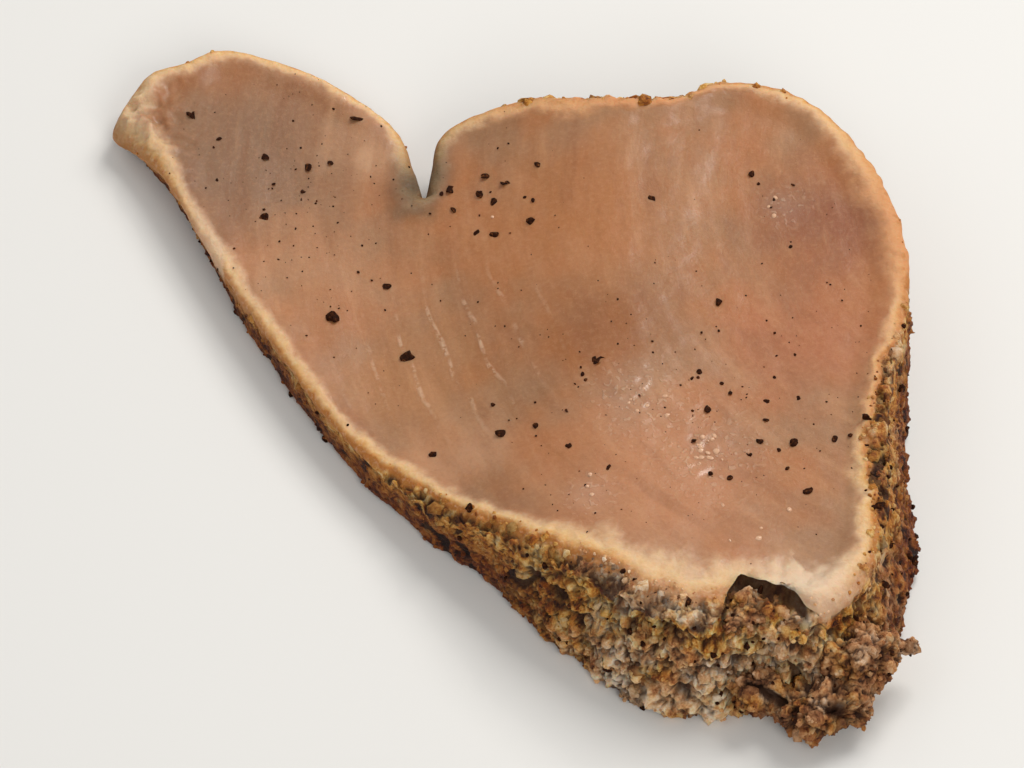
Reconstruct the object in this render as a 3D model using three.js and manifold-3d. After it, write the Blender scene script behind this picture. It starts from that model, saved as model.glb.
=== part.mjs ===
// One slice cut from a seared tuna steak, lying on its lower cut face.
//
// The slice is a thin wedge: a thin lobe with a torn tip on the left, a notch, and a
// thick lobe on the right.  Its top is the moist cut face, its wall is the seared,
// crumb-crusted outside of the steak.  The whole slice is one closed solid, lofted
// ring by ring from the middle of the top, over the rim, down the wall and under to the
// middle of the base.  The lumps of crust under the front corner, the larger crumbs and
// the cracked pepper are then joined to it.
//
// Millimetres, +X right, +Y away, +Z up, base on z = 0, origin under the middle of the
// slice's box.

import * as THREE from "three";
import { ImprovedNoise } from "three/addons/math/ImprovedNoise.js";
import { mergeVertices } from "three/addons/utils/BufferGeometryUtils.js";
import Module from "manifold-3d";

// ---- driving dimensions ------------------------------------------------------------

const THIN = 5.0; // thickness of the thin lobe
const THICK = 11.5; // thickness of the thick lobe
const WEDGE = { from: -13.0, to: 12.0 }; // the thickness grows between these x

// Edge of the top face, clockwise from the torn tip.
const FACE_EDGE = [
  [-35.4, 30.4], // torn tip of the thin lobe
  [-33.7, 34.4],
  [-31.8, 36.6],
  [-29.0, 37.5],
  [-26.0, 39.0],
  [-20.0, 37.3],
  [-14.6, 34.4],
  [-9.5, 30.0],
  [-8.1, 25.4],
  [-7.1, 20.6], // bottom of the notch
  [-6.5, 23.6],
  [-5.6, 27.6], // corner of the thick lobe at the notch
  [0.0, 29.5],
  [8.0, 28.4],
  [14.5, 28.1],
  [20.0, 29.5],
  [26.5, 27.7],
  [32.7, 20.0],
  [35.9, 8.0],
  [33.8, -8.2],
  [33.4, -19.4],
  [31.4, -26.6],
  [27.1, -31.0], // front corner
  [22.6, -30.4],
  [16.5, -31.4],
  [9.8, -27.9],
  [1.6, -21.6],
  [-6.5, -14.7],
  [-13.8, -6.3],
  [-20.6, 4.7],
  [-26.3, 15.2],
  [-30.9, 24.6],
  [-33.6, 28.3],
];
const HEART = { x: -6.0, y: 5.5 }; // every point of the edge is in plain sight from here

const LIP = { height: 0.7, width: 3.0 }; // the seared band stands above the flesh
const DISH = 0.5; // the flesh sinks this far in the middle of the face
const KNIFE_WAVE = { size: 15, height: 0.35 }; // slow undulation left by the knife

// The rounded rim: how far it reaches in from the edge, and how far it comes down.
// The other three are added to it in places.
const RIM = { width: 1.3, drop: 0.9 };
const FRONT_RIM = { width: 1.3, drop: 0.8 };
const ROLL = { x: -10.0, y: 26.6, reach: 6.0, width: 3.4, drop: 2.2 }; // into the notch
const TORN = { x: -35.0, y: 30.5, reach: 5.0, width: 1.8, drop: 1.9 }; // at the tip
const NOTCH = { left: -8.6, right: -6.6 }; // only the left side of the notch is rolled
const FOOT_ROUND = 0.7; // rounding of the lower edge

// How far the foot of the wall leans out.  The slice is cut on the slant, so the back
// wall leans in, and so does the far left under the torn tip.
const LEAN = { front: 4.6, right: 3.2, back: -1.2, left: -1.0, torn: -0.8 };

const CRAG = { size: 3.4, height: 0.65 }; // coarse relief of the crust
const PIT = { size: 1.7, height: 0.3 }; // finer relief of the crust

// The rim has split near the front corner, and the split runs down the crust to the
// right, above the lumps that hang from the corner.
const SPLIT = { x: 22.0, y: -30.6, width: 1.5, depth: 2.7, runs: -9.5 };
const LUMPS = [
  { x: 27.8, y: -35.0, z: 2.9, across: 4.7, deep: 3.6, tall: 3.1 },
  { x: 30.6, y: -31.0, z: 5.0, across: 4.4, deep: 3.6, tall: 3.0 },
  { x: 22.2, y: -33.2, z: 3.4, across: 2.6, deep: 2.4, tall: 2.7 },
];
const CRUMBS = { count: 40, small: 0.6, large: 1.4, seed: 11 };

const PEPPER = { small: 0.28, large: 0.5, seed: 5 };
// The largest flakes: x, y and half their width.
const BOLD_PEPPER = [
  [-28.3, 31.3, 0.7],
  [-13.3, 30.6, 0.55],
  [-18.0, 22.4, 0.55],
  [-21.6, 19.2, 0.6],
  [-10.5, 11.0, 0.55],
  [-15.2, 7.4, 0.7],
  [-8.5, 2.7, 0.65],
  [-4.7, 20.5, 0.7],
  [-2.2, 19.6, 0.65],
  [-0.8, 14.7, 0.55],
  [2.4, 15.3, 0.55],
  [8.4, -2.1, 0.85],
  [13.2, 16.1, 0.55],
  [19.0, 4.4, 0.6],
  [-0.2, -8.1, 0.55],
  [-6.2, -9.1, 0.6],
  [25.4, -11.8, 0.5],
  [26.4, -17.1, 0.55],
  [8.1, -26.6, 0.7],
];
// Smaller flakes lie in loose clusters: middle, spread and number.
const PEPPER_CLUSTERS = [
  { x: -21, y: 24, spread: 6.5, count: 5 },
  { x: 0, y: 20, spread: 6.0, count: 7 },
  { x: 24, y: 15, spread: 5.0, count: 5 },
  { x: 23, y: -9, spread: 8.0, count: 13 },
  { x: 4, y: -8, spread: 9.0, count: 4 },
];
const WALL_PEPPER = 14; // flakes on the crust

const AROUND = 148; // columns round the slice
const FACE_RINGS = 10;
const RIM_RINGS = 3;
const WALL_RINGS = 7;

// ---- small helpers -----------------------------------------------------------------

const noise = new ImprovedNoise();
const wasm = await Module();
wasm.setup();

const { smoothstep, lerp } = THREE.MathUtils;

// A repeatable stream of numbers from 0 to 1.
function randomStream(seed) {
  let state = seed;
  return () => {
    state = (state * 16807) % 2147483647;
    return state / 2147483647;
  };
}

// 1 at the place, fading to nothing a little past its reach.
function near(place, x, y) {
  const squared = (x - place.x) ** 2 + (y - place.y) ** 2;
  return Math.exp(-squared / place.reach ** 2);
}

function relief(wave, x, y, z) {
  return wave.height * noise.noise(x / wave.size, y / wave.size, z / wave.size);
}

// ---- the edge ----------------------------------------------------------------------

// Columns: a point of the edge, the way out from it and its distance along the edge.
function makeColumns() {
  const curve = new THREE.CatmullRomCurve3(
    FACE_EDGE.map(([x, y]) => new THREE.Vector3(x, y, 0)),
    true,
    "centripetal",
  );
  curve.arcLengthDivisions = 2000;
  const points = curve.getSpacedPoints(AROUND).slice(0, AROUND);
  const step = curve.getLength() / AROUND;
  return points.map((point, i) => {
    const before = points[(i + AROUND - 2) % AROUND];
    const after = points[(i + 2) % AROUND];
    const along = after.clone().sub(before).normalize();
    return { x: point.x, y: point.y, outX: -along.y, outY: along.x, along: i * step };
  });
}

const columns = makeColumns();
const splitAlong = columnNearest(SPLIT).along;
const edge = columns.map((column) => outward(column, -split(column, 0), 0));
const edgeLines = edge.map((point, i) => new THREE.Line3(point, edge[(i + 1) % AROUND]));

function columnNearest(place) {
  const away = (column) => Math.hypot(column.x - place.x, column.y - place.y);
  return columns.reduce((best, column) => (away(column) < away(best) ? column : best));
}

// A point at a distance outside the edge of the face.
function outward(column, distance, z) {
  return new THREE.Vector3(
    column.x + column.outX * distance,
    column.y + column.outY * distance,
    z,
  );
}

// Depth of the split at a share `down` of the wall's height.
function split(column, down) {
  const away = (column.along - splitAlong - SPLIT.runs * down) / SPLIT.width;
  const fade = 1 - smoothstep(down, 0.55, 1);
  return SPLIT.depth * fade * Math.exp(-away * away);
}

// Distance of a place on the face from the nearest edge.
function distanceInside(x, y) {
  const place = new THREE.Vector3(x, y, 0);
  const nearest = new THREE.Vector3();
  const distances = edgeLines.map((line) =>
    line.closestPointToPoint(place, true, nearest).distanceTo(place),
  );
  return Math.min(...distances);
}

// ---- heights and offsets -----------------------------------------------------------

function thickness(x) {
  return lerp(THIN, THICK, smoothstep(x, WEDGE.from, WEDGE.to));
}

function rimAt(x, y) {
  const front = smoothstep(x, -3, 12) * smoothstep(-y, 8, 20);
  const roll = near(ROLL, x, y) * (1 - smoothstep(x, NOTCH.left, NOTCH.right));
  const torn = near(TORN, x, y);
  const sum = (key) =>
    RIM[key] + front * FRONT_RIM[key] + roll * ROLL[key] + torn * TORN[key];
  return { width: sum("width"), drop: sum("drop") };
}

function faceHeight(x, y) {
  const inside = distanceInside(x, y);
  const rim = rimAt(x, y);
  const slope = Math.max(0, 1 - inside / rim.width);
  const round = rim.drop * (1 - Math.sqrt(1 - slope * slope));
  const sink = smoothstep(inside, 0.5 * LIP.width, 1.5 * LIP.width);
  const dish = smoothstep(inside, LIP.width, 5 * LIP.width);
  const wave = relief(KNIFE_WAVE, x, y, 2.5);
  return thickness(x) - round - LIP.height * sink - DISH * dish + wave;
}

// 1 on the thick front wall, 0 at the sides and the back.
function frontness(column) {
  return smoothstep(-column.outY, 0.1, 0.9) * smoothstep(column.x, -3, 12);
}

// How far the foot of the wall stands out from the edge of the face.
function lean(column) {
  const front = frontness(column);
  const right = smoothstep(column.outX, 0.5, 1.0) * smoothstep(-column.y, -8, 16);
  const back = smoothstep(column.outY, 0.3, 0.9);
  const left = smoothstep(-column.outX, 0.3, 0.8) * smoothstep(column.y, 8, 20);
  const torn = near(TORN, column.x, column.y);
  const outwards = LEAN.front * front + LEAN.right * right * (1 - front);
  return outwards + LEAN.back * back + LEAN.left * left * (1 - back) + LEAN.torn * torn;
}

// The crust is roughest where it is thick, and calm inside the notch.
function roughness(column) {
  const thick = lerp(0.45, 1, smoothstep(column.x, -14, 8));
  return thick * (1 - 0.85 * near(ROLL, column.x, column.y));
}

// ---- the loft ----------------------------------------------------------------------

// A point of the face, at a share of the way from its edge to its heart.
function facePoint(i, share) {
  const x = lerp(edge[i].x, HEART.x, share);
  const y = lerp(edge[i].y, HEART.y, share);
  return new THREE.Vector3(x, y, faceHeight(x, y));
}

// The share at which the rounding of the rim ends.
function rimShare(i) {
  const toHeart = new THREE.Vector2(HEART.x - edge[i].x, HEART.y - edge[i].y);
  const reach = toHeart.length();
  const facing = -(toHeart.x * columns[i].outX + toHeart.y * columns[i].outY) / reach;
  return rimAt(edge[i].x, edge[i].y).width / Math.max(facing, 0.4) / reach;
}

function wallPoint(column, down) {
  const top = faceHeight(column.x, column.y);
  const z = lerp(top, FOOT_ROUND, down);
  const rough = roughness(column) * smoothstep(down, -0.15, 0.3);
  const crags = relief(CRAG, column.x, column.y, z) + relief(PIT, column.x, column.y, z);
  const leaning = lean(column) * smoothstep(down, -0.5, 1.1);
  return outward(column, leaning + rough * crags - split(column, down), z);
}

function footPoint(column) {
  const edge = wallPoint(column, 1);
  edge.x -= column.outX * FOOT_ROUND;
  edge.y -= column.outY * FOOT_ROUND;
  return edge.setZ(0);
}

// Rings from the middle of the face to the underside, each a list of points.
function makeRings() {
  const rings = [];
  const rimShares = columns.map((column, i) => rimShare(i));
  for (let ring = FACE_RINGS; ring > 0; ring--) {
    const share = (ring / (FACE_RINGS + 1)) ** 1.35; // closer together near the rim
    rings.push(rimShares.map((rim, i) => facePoint(i, lerp(rim, 1, share))));
  }
  for (let ring = 0; ring <= RIM_RINGS; ring++) {
    const share = 1 - Math.sin(((ring / RIM_RINGS) * Math.PI) / 2);
    rings.push(rimShares.map((rim, i) => facePoint(i, rim * share)));
  }
  for (let ring = 1; ring <= WALL_RINGS; ring++) {
    rings.push(columns.map((column) => wallPoint(column, ring / WALL_RINGS)));
  }
  rings.push(columns.map(footPoint));
  return rings;
}

function loft(rings) {
  const first = new THREE.Vector3(HEART.x, HEART.y, faceHeight(HEART.x, HEART.y));
  const last = new THREE.Vector3(HEART.x, HEART.y, 0);
  const vertices = [first, ...rings.flat(), last];
  const at = (ring, i) => 1 + ring * AROUND + (i % AROUND);
  const faces = [];
  for (let i = 0; i < AROUND; i++) {
    faces.push(0, at(0, i + 1), at(0, i));
    for (let ring = 0; ring + 1 < rings.length; ring++) {
      faces.push(at(ring, i), at(ring, i + 1), at(ring + 1, i));
      faces.push(at(ring, i + 1), at(ring + 1, i + 1), at(ring + 1, i));
    }
    faces.push(at(rings.length - 1, i), at(rings.length - 1, i + 1), vertices.length - 1);
  }
  return new THREE.BufferGeometry().setFromPoints(vertices).setIndex(faces);
}

// ---- what is joined to the slice ---------------------------------------------------

// A closed ball with a few flat sides and an uneven surface.
function lump(detail, size, uneven, random) {
  const ball = new THREE.IcosahedronGeometry(1, detail);
  ball.deleteAttribute("normal");
  ball.deleteAttribute("uv");
  const geometry = mergeVertices(ball);
  const places = geometry.getAttribute("position");
  for (let i = 0; i < places.count; i++) {
    const stretch = 1 + uneven * (2 * random() - 1);
    const place = new THREE.Vector3().fromBufferAttribute(places, i);
    place.multiply(size).multiplyScalar(stretch);
    places.setXYZ(i, place.x, place.y, place.z);
  }
  return geometry;
}

// Nothing reaches below the surface that the slice lies on.
function flattenBase(geometry) {
  const places = geometry.getAttribute("position");
  for (let i = 0; i < places.count; i++) {
    places.setZ(i, Math.max(places.getZ(i), 0));
  }
  return geometry;
}

function makeLumps() {
  const random = randomStream(CRUMBS.seed);
  return LUMPS.map(({ x, y, z, across, deep, tall }) => {
    const size = new THREE.Vector3(across, deep, tall);
    return flattenBase(lump(1, size, 0.13, random).translate(x, y, z));
  });
}

// Crumbs of crust, only where the wall leans out.
function makeCrumbs() {
  const random = randomStream(CRUMBS.seed);
  const crusty = columns.filter((column) => lean(column) > 1.5);
  const crumbs = [];
  for (let i = 0; i < CRUMBS.count; i++) {
    const column = crusty[Math.floor(random() * crusty.length)];
    const radius = lerp(CRUMBS.small, CRUMBS.large, random() ** 2);
    const place = wallPoint(column, lerp(0.3, 0.95, random()));
    const size = new THREE.Vector3(radius, radius, 0.8 * radius);
    const crumb = lump(0, size, 0.12, random).rotateZ(random() * Math.PI);
    crumbs.push(flattenBase(crumb.translate(place.x, place.y, place.z)));
  }
  return crumbs;
}

// A flat flake that is sunk in for a third of its height.
function pepperFlake(place, radius, random) {
  const size = new THREE.Vector3(radius, 0.75 * radius, 0.6 * radius);
  const flake = lump(0, size, 0.2, random).rotateZ(random() * Math.PI);
  return flake.translate(place.x, place.y, place.z + 0.2 * radius);
}

function makePepper(body) {
  const random = randomStream(PEPPER.seed);
  const ray = new THREE.Raycaster();
  const down = new THREE.Vector3(0, 0, -1);
  const mesh = new THREE.Mesh(body);
  const flakes = [];
  const smallSize = () => lerp(PEPPER.small, PEPPER.large, random());
  const drop = (x, y, radius) => {
    ray.set(new THREE.Vector3(x, y, 2 * THICK), down);
    const hit = ray.intersectObject(mesh)[0];
    if (hit) flakes.push(pepperFlake(hit.point, radius, random));
  };
  for (const [x, y, radius] of BOLD_PEPPER) drop(x, y, radius);
  for (const cluster of PEPPER_CLUSTERS) {
    for (let i = 0; i < cluster.count; i++) {
      const turn = 2 * Math.PI * random();
      const away = cluster.spread * Math.sqrt(random());
      const x = cluster.x + away * Math.cos(turn);
      drop(x, cluster.y + away * Math.sin(turn), smallSize());
    }
  }
  for (let i = 0; i < WALL_PEPPER; i++) {
    const column = columns[Math.floor(((i + random()) / WALL_PEPPER) * AROUND)];
    const place = wallPoint(column, lerp(0.2, 0.8, random()));
    flakes.push(pepperFlake(place, smallSize(), random));
  }
  return flakes;
}

// ---- joining -----------------------------------------------------------------------

function toSolid(geometry) {
  return new wasm.Manifold(
    new wasm.Mesh({
      numProp: 3,
      vertProperties: new Float32Array(geometry.getAttribute("position").array),
      triVerts: new Uint32Array(geometry.index.array),
    }),
  );
}

function toGeometry(solid) {
  const mesh = solid.getMesh();
  const places = new THREE.BufferAttribute(mesh.vertProperties, mesh.numProp);
  const geometry = new THREE.BufferGeometry().setAttribute("position", places);
  geometry.setIndex(new THREE.BufferAttribute(mesh.triVerts, 1));
  geometry.computeVertexNormals();
  return geometry;
}

// The origin goes under the middle of the slice's box.
function standOnOrigin(geometry) {
  geometry.computeBoundingBox();
  const { min, max } = geometry.boundingBox;
  return geometry.translate(-(min.x + max.x) / 2, -(min.y + max.y) / 2, -min.z);
}

function makeSlice() {
  const body = loft(makeRings());
  const additions = [...makeLumps(), ...makeCrumbs(), ...makePepper(body)];
  const whole = additions.reduce((sum, piece) => sum.add(toSolid(piece)), toSolid(body));
  const flesh = new THREE.MeshStandardMaterial({
    color: 0xb2846a,
    roughness: 0.45,
    metalness: 0,
  });
  const mesh = new THREE.Mesh(standOnOrigin(toGeometry(whole)), flesh);
  mesh.name = "tuna_slice";
  return mesh;
}

const slice = new THREE.Group();
slice.add(makeSlice());

export default slice;
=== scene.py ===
# %% [markdown]
# # One slice of seared tuna steak
#
# A loin of tuna was rolled in crushed nuts, crumbs and cracked pepper, seared on the
# outside only, and cut on the slant.  This is one slice of it: moist pink flesh with a
# thin cooked band round it, and a toasted, crumbly crust on the wall.
#
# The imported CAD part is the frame.  It is one plain solid, so everything that shows is
# made here over its form: the slice itself, the lumps and crumbs of crust, the pepper and
# the beads of juice.  Lengths are thought out in millimetres and turned into metres last.

# %% Load the frame
import math

import bmesh
import bpy
import numpy as np
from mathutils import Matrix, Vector, noise
from mathutils.geometry import delaunay_2d_cdt


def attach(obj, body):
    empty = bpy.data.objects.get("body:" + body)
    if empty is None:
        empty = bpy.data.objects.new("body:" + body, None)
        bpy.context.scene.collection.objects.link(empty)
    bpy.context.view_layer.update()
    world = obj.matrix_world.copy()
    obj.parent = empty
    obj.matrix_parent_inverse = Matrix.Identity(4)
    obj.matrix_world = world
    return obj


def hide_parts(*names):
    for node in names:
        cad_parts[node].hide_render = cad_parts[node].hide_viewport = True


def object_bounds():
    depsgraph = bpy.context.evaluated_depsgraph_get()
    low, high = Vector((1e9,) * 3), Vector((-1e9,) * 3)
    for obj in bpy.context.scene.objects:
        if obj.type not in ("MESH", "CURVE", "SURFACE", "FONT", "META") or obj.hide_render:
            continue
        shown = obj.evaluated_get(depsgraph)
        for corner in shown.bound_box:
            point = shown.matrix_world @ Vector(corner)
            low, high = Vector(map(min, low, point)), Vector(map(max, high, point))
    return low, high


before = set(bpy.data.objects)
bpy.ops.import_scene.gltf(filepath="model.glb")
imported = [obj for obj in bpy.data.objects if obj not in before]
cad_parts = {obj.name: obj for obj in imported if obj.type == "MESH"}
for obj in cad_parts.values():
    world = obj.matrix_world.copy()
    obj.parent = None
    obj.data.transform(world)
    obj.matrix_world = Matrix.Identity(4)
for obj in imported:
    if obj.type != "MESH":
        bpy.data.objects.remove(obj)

MM = 0.001
NODE = "tuna_slice"
NOISE_SEED = 7
noise.seed_set(NOISE_SEED)  # without it, vectors of noise differ from run to run
cad_low, cad_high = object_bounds()
print("CAD box in mm:", [round(side / MM, 2) for side in cad_high - cad_low])

# %% [markdown]
# ## Camera and light
#
# The camera looks down on the slice at 51 degrees from far away through a long lens.  A
# wide lens close by would show more of the wall, but it would swell the near corner.  The
# light is made of square panels, which are easier to steer than a picture of a room.  The
# key is a broad soft one behind on the right, which leaves the left wall dark.  A small hard
# one beside it puts sparks on the juice, another behind on the left draws a sheen on the
# flesh, and two weaker ones in front and a pale world fill the shade.

# %% Camera
VIEW_WIDTH = 91.2 * MM  # what the picture takes in at the slice
VIEW_CENTRE = Vector((-0.37, 3.14, 0.0)) * MM
VIEW_ELEVATION = math.radians(51)
VIEW_DISTANCE = 0.9
SENSOR = 36.0


def point_at(item, target):
    """Turns a camera or a lamp, which both look along their own -Z, to a place."""
    item.rotation_euler = (target - item.location).to_track_quat("-Z", "Y").to_euler()


def link(item):
    bpy.context.scene.collection.objects.link(item)
    return item


lens = bpy.data.cameras.new("camera")
lens.sensor_width = SENSOR
lens.lens = SENSOR * VIEW_DISTANCE / VIEW_WIDTH  # a long lens, close to 355 mm
camera = link(bpy.data.objects.new("camera", lens))
backwards = Vector((0, -math.cos(VIEW_ELEVATION), math.sin(VIEW_ELEVATION)))
camera.location = VIEW_CENTRE + VIEW_DISTANCE * backwards
point_at(camera, VIEW_CENTRE)
bpy.context.scene.camera = camera
print("lens in mm:", round(lens.lens))

# %% Lights and colour management
LIGHTS = {
    # name: azimuth, elevation, distance, size of the panel, watts, colour
    "key": (140, 52, 0.55, 0.30, 2.0, (1.0, 0.97, 0.93)),
    "spark": (152, 44, 0.55, 0.03, 0.12, (1.0, 0.97, 0.93)),
    "fill_right": (20, 38, 0.6, 0.30, 1.25, (1.0, 0.97, 0.92)),
    "fill_left": (-60, 50, 0.7, 0.4, 0.25, (0.99, 0.98, 1.0)),
    "sheen": (205, 44, 0.6, 0.30, 0.2, (1.0, 0.97, 0.93)),
}
LIT_PLACE = Vector((0, 0, 6 * MM))  # half way up the slice
WORLD = {"colour": (0.97, 0.985, 1.0, 1.0), "strength": 0.34}


def add_light(name, azimuth, elevation, distance, size, watts, colour):
    """A square panel.  Azimuth 0 stands in front, by the camera, and 90 on the right."""
    lamp = bpy.data.lights.new(name, "AREA")
    lamp.energy = watts
    lamp.size = size
    lamp.color = colour
    turn = math.radians(azimuth)
    rise = math.radians(elevation)
    level = distance * math.cos(rise)
    panel = link(bpy.data.objects.new(name, lamp))
    panel.location = (level * math.sin(turn), -level * math.cos(turn), distance * math.sin(rise))
    point_at(panel, LIT_PLACE)


for name, values in LIGHTS.items():
    add_light(name, *values)

world = bpy.data.worlds.new("room")
world.use_nodes = True
background = world.node_tree.nodes["Background"]
background.inputs["Color"].default_value = WORLD["colour"]
background.inputs["Strength"].default_value = WORLD["strength"]
bpy.context.scene.world = world
bpy.context.scene.view_settings.view_transform = "Standard"
print(len(LIGHTS), "panels of light")

# %% [markdown]
# ## Helpers for node trees
#
# Shader trees and Geometry Nodes trees are both nodes and links.  They could be built by
# hand in the editor, but a script says every value.  One function adds a node and fills its
# inputs, from a number or from another node's output, and small ones for the commonest
# nodes keep the cells that follow short enough to read.

# %% Node helpers
MIX_COLOUR = {"factor": 0, "a": 6, "b": 7, "result": 2}  # sockets of a Mix node for colours


def add(tree, kind, inputs=None, **settings):
    """Adds a node.  An input is named or numbered, and is given a value or a socket."""
    node = tree.nodes.new(kind)
    for key, value in settings.items():
        setattr(node, key, value)
    for key, value in (inputs or {}).items():
        if isinstance(value, bpy.types.NodeSocket):
            tree.links.new(value, node.inputs[key])
        else:
            node.inputs[key].default_value = value
    return node


def maths(tree, operation, first, second=0.0):
    node = add(tree, "ShaderNodeMath", {0: first, 1: second}, operation=operation)
    return node.outputs[0]


def times(tree, first, second):
    return maths(tree, "MULTIPLY", first, second)


def vectors(tree, operation, first, second):
    """The vector that a sum, a difference or a product of two vectors gives."""
    node = add(tree, "ShaderNodeVectorMath", {0: first, 1: second}, operation=operation)
    return node.outputs[0]


def scaled(tree, vector, factor):
    node = add(tree, "ShaderNodeVectorMath", {0: vector, "Scale": factor}, operation="SCALE")
    return node.outputs[0]


def ease(tree, value, low, high, to_low=0.0, to_high=1.0):
    """A smooth step between two values of the input."""
    inputs = {
        "Value": value,
        "From Min": low,
        "From Max": high,
        "To Min": to_low,
        "To Max": to_high,
    }
    return add(tree, "ShaderNodeMapRange", inputs, interpolation_type="SMOOTHSTEP").outputs[0]


def mix(tree, share, first, second, blend="MIX"):
    sockets = {MIX_COLOUR["factor"]: share, MIX_COLOUR["a"]: first, MIX_COLOUR["b"]: second}
    node = add(tree, "ShaderNodeMix", sockets, data_type="RGBA", blend_type=blend)
    return node.outputs[MIX_COLOUR["result"]]


def noise_of(tree, place, per_mm, detail=3.0, roughness=0.55, distortion=0.0):
    inputs = {
        "Vector": place,
        "Scale": per_mm,
        "Detail": detail,
        "Roughness": roughness,
        "Distortion": distortion,
    }
    return add(tree, "ShaderNodeTexNoise", inputs).outputs["Fac"]


def attribute(tree, name, output="Fac"):
    return add(tree, "ShaderNodeAttribute", attribute_name=name).outputs[output]


def colour(red, green, blue):
    """A colour as a screen shows it, 0 to 255, turned into the linear light of a shader."""
    shares = np.array([red, green, blue]) / 255
    linear = np.where(shares <= 0.04045, shares / 12.92, ((shares + 0.055) / 1.055) ** 2.4)
    return (*linear.tolist(), 1.0)


def ramp(tree, value, stops):
    """A colour ramp from (position, colour) pairs in rising order."""
    node = add(tree, "ShaderNodeValToRGB", {"Fac": value})
    elements = node.color_ramp.elements
    for i, (position, shade) in enumerate(stops):
        if i < 2:
            elements[i].position = position
        element = elements[i] if i < 2 else elements.new(position)
        element.color = shade
    return node.outputs["Color"]


def millimetres(tree):
    """Object coordinates in millimetres, so that a pattern's scale is its number per mm."""
    place = add(tree, "ShaderNodeTexCoord").outputs["Object"]
    return add(tree, "ShaderNodeMapping", {"Vector": place, "Scale": (1 / MM,) * 3}).outputs[0]


def bump(tree, height, distance, strength=1.0, normal=None):
    """Distance is the real height in mm of a full step of the input."""
    inputs = {"Height": height, "Distance": distance * MM, "Strength": strength}
    if normal is not None:
        inputs["Normal"] = normal
    return add(tree, "ShaderNodeBump", inputs).outputs[0]


def new_group(name, kind, sockets_in, sockets_out):
    """A node group with named sockets, and its own input and output nodes."""
    tree = bpy.data.node_groups.new(name, kind)
    for side, sockets in (("INPUT", sockets_in), ("OUTPUT", sockets_out)):
        for socket, socket_type in sockets.items():
            tree.interface.new_socket(socket, in_out=side, socket_type="NodeSocket" + socket_type)
    return tree, tree.nodes.new("NodeGroupInput").outputs, tree.nodes.new("NodeGroupOutput").inputs


def place_group(tree, group, inputs):
    node = tree.nodes.new("ShaderNodeGroup")
    node.node_tree = group
    for key, value in inputs.items():
        if isinstance(value, bpy.types.NodeSocket):
            tree.links.new(value, node.inputs[key])
        else:
            node.inputs[key].default_value = value
    return node.outputs


def new_material(name):
    material = bpy.data.materials.new(name)
    material.use_nodes = True
    tree = material.node_tree
    return material, tree, tree.nodes["Principled BSDF"]


# %% [markdown]
# ## Floor
#
# A slice of food is shown on a plain table top.  One large pale plane does for it, a hair
# below the slice, so that the two never fight for the same place.

# %% Floor
FLOOR_SIZE = 1.6
FLOOR_DROP = 0.02 * MM  # keeps the floor clear of the underside

floor_material, tree, shader = new_material("pale_floor")
shader.inputs["Base Color"].default_value = colour(228, 227, 224)
shader.inputs["Roughness"].default_value = 0.7
bpy.ops.mesh.primitive_plane_add(size=FLOOR_SIZE, location=(0, 0, -FLOOR_DROP))
floor = bpy.context.object
floor.name = "floor"
floor.data.materials.append(floor_material)
print("floor", FLOOR_SIZE, "m across")

# %% [markdown]
# ## The edge of the slice
#
# Everything on the slice is laid out from the edge of its top face: the cooked band runs
# in from it and the wall runs down from it.  The edge is a smooth closed curve through
# the points that give it its shape, clockwise from the torn tip on the left.  A Bezier
# curve object could hold it too, but here it is worked out in numpy, because the next steps
# measure from it.  It is cut into even steps, the columns of the wall.

# %% Outline
FACE_EDGE = [
    (-35.4, 30.4), (-33.7, 34.4), (-31.8, 36.6), (-29.0, 37.5), (-26.0, 39.0), (-20.0, 37.3),
    (-14.6, 34.4), (-9.5, 30.0), (-8.1, 25.4), (-7.1, 20.6), (-6.5, 23.6), (-5.6, 27.6),
    (0.0, 29.5), (8.0, 28.4), (14.5, 28.1), (20.0, 29.5), (26.5, 27.7), (32.7, 20.0),
    (35.9, 8.0), (33.8, -8.2), (33.4, -19.4), (31.4, -26.6), (27.1, -31.0), (22.6, -30.4),
    (16.5, -31.4), (9.8, -27.9), (1.6, -21.6), (-6.5, -14.7), (-13.8, -6.3), (-20.6, 4.7),
    (-26.3, 15.2), (-30.9, 24.6), (-33.6, 28.3),
]  # fmt: skip
COLUMN_STEP = 0.24
OUT_REACH = 3.2  # the way out at a column is square to a chord this long on both sides
CURVE_STEPS = 60


def closed_curve(corners):
    """Close-set points of a centripetal Catmull-Rom curve through the corners."""
    steps = np.linspace(0, 1, CURVE_STEPS, endpoint=False)[:, None]
    pieces = []
    for i in range(len(corners)):
        p0, p1, p2, p3 = np.roll(corners, 1 - i, axis=0)[:4]
        t0, t1, t2 = (math.sqrt(math.dist(a, b)) for a, b in ((p0, p1), (p1, p2), (p2, p3)))
        leave = t1 * ((p1 - p0) / t0 - (p2 - p0) / (t0 + t1) + (p2 - p1) / t1)
        arrive = t1 * ((p2 - p1) / t1 - (p3 - p1) / (t1 + t2) + (p3 - p2) / t2)
        square = 3 * (p2 - p1) - 2 * leave - arrive
        cube = 2 * (p1 - p2) + leave + arrive
        pieces.append(p1 + leave * steps + square * steps**2 + cube * steps**3)
    return np.vstack(pieces)


curve = closed_curve(np.array(FACE_EDGE))
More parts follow.
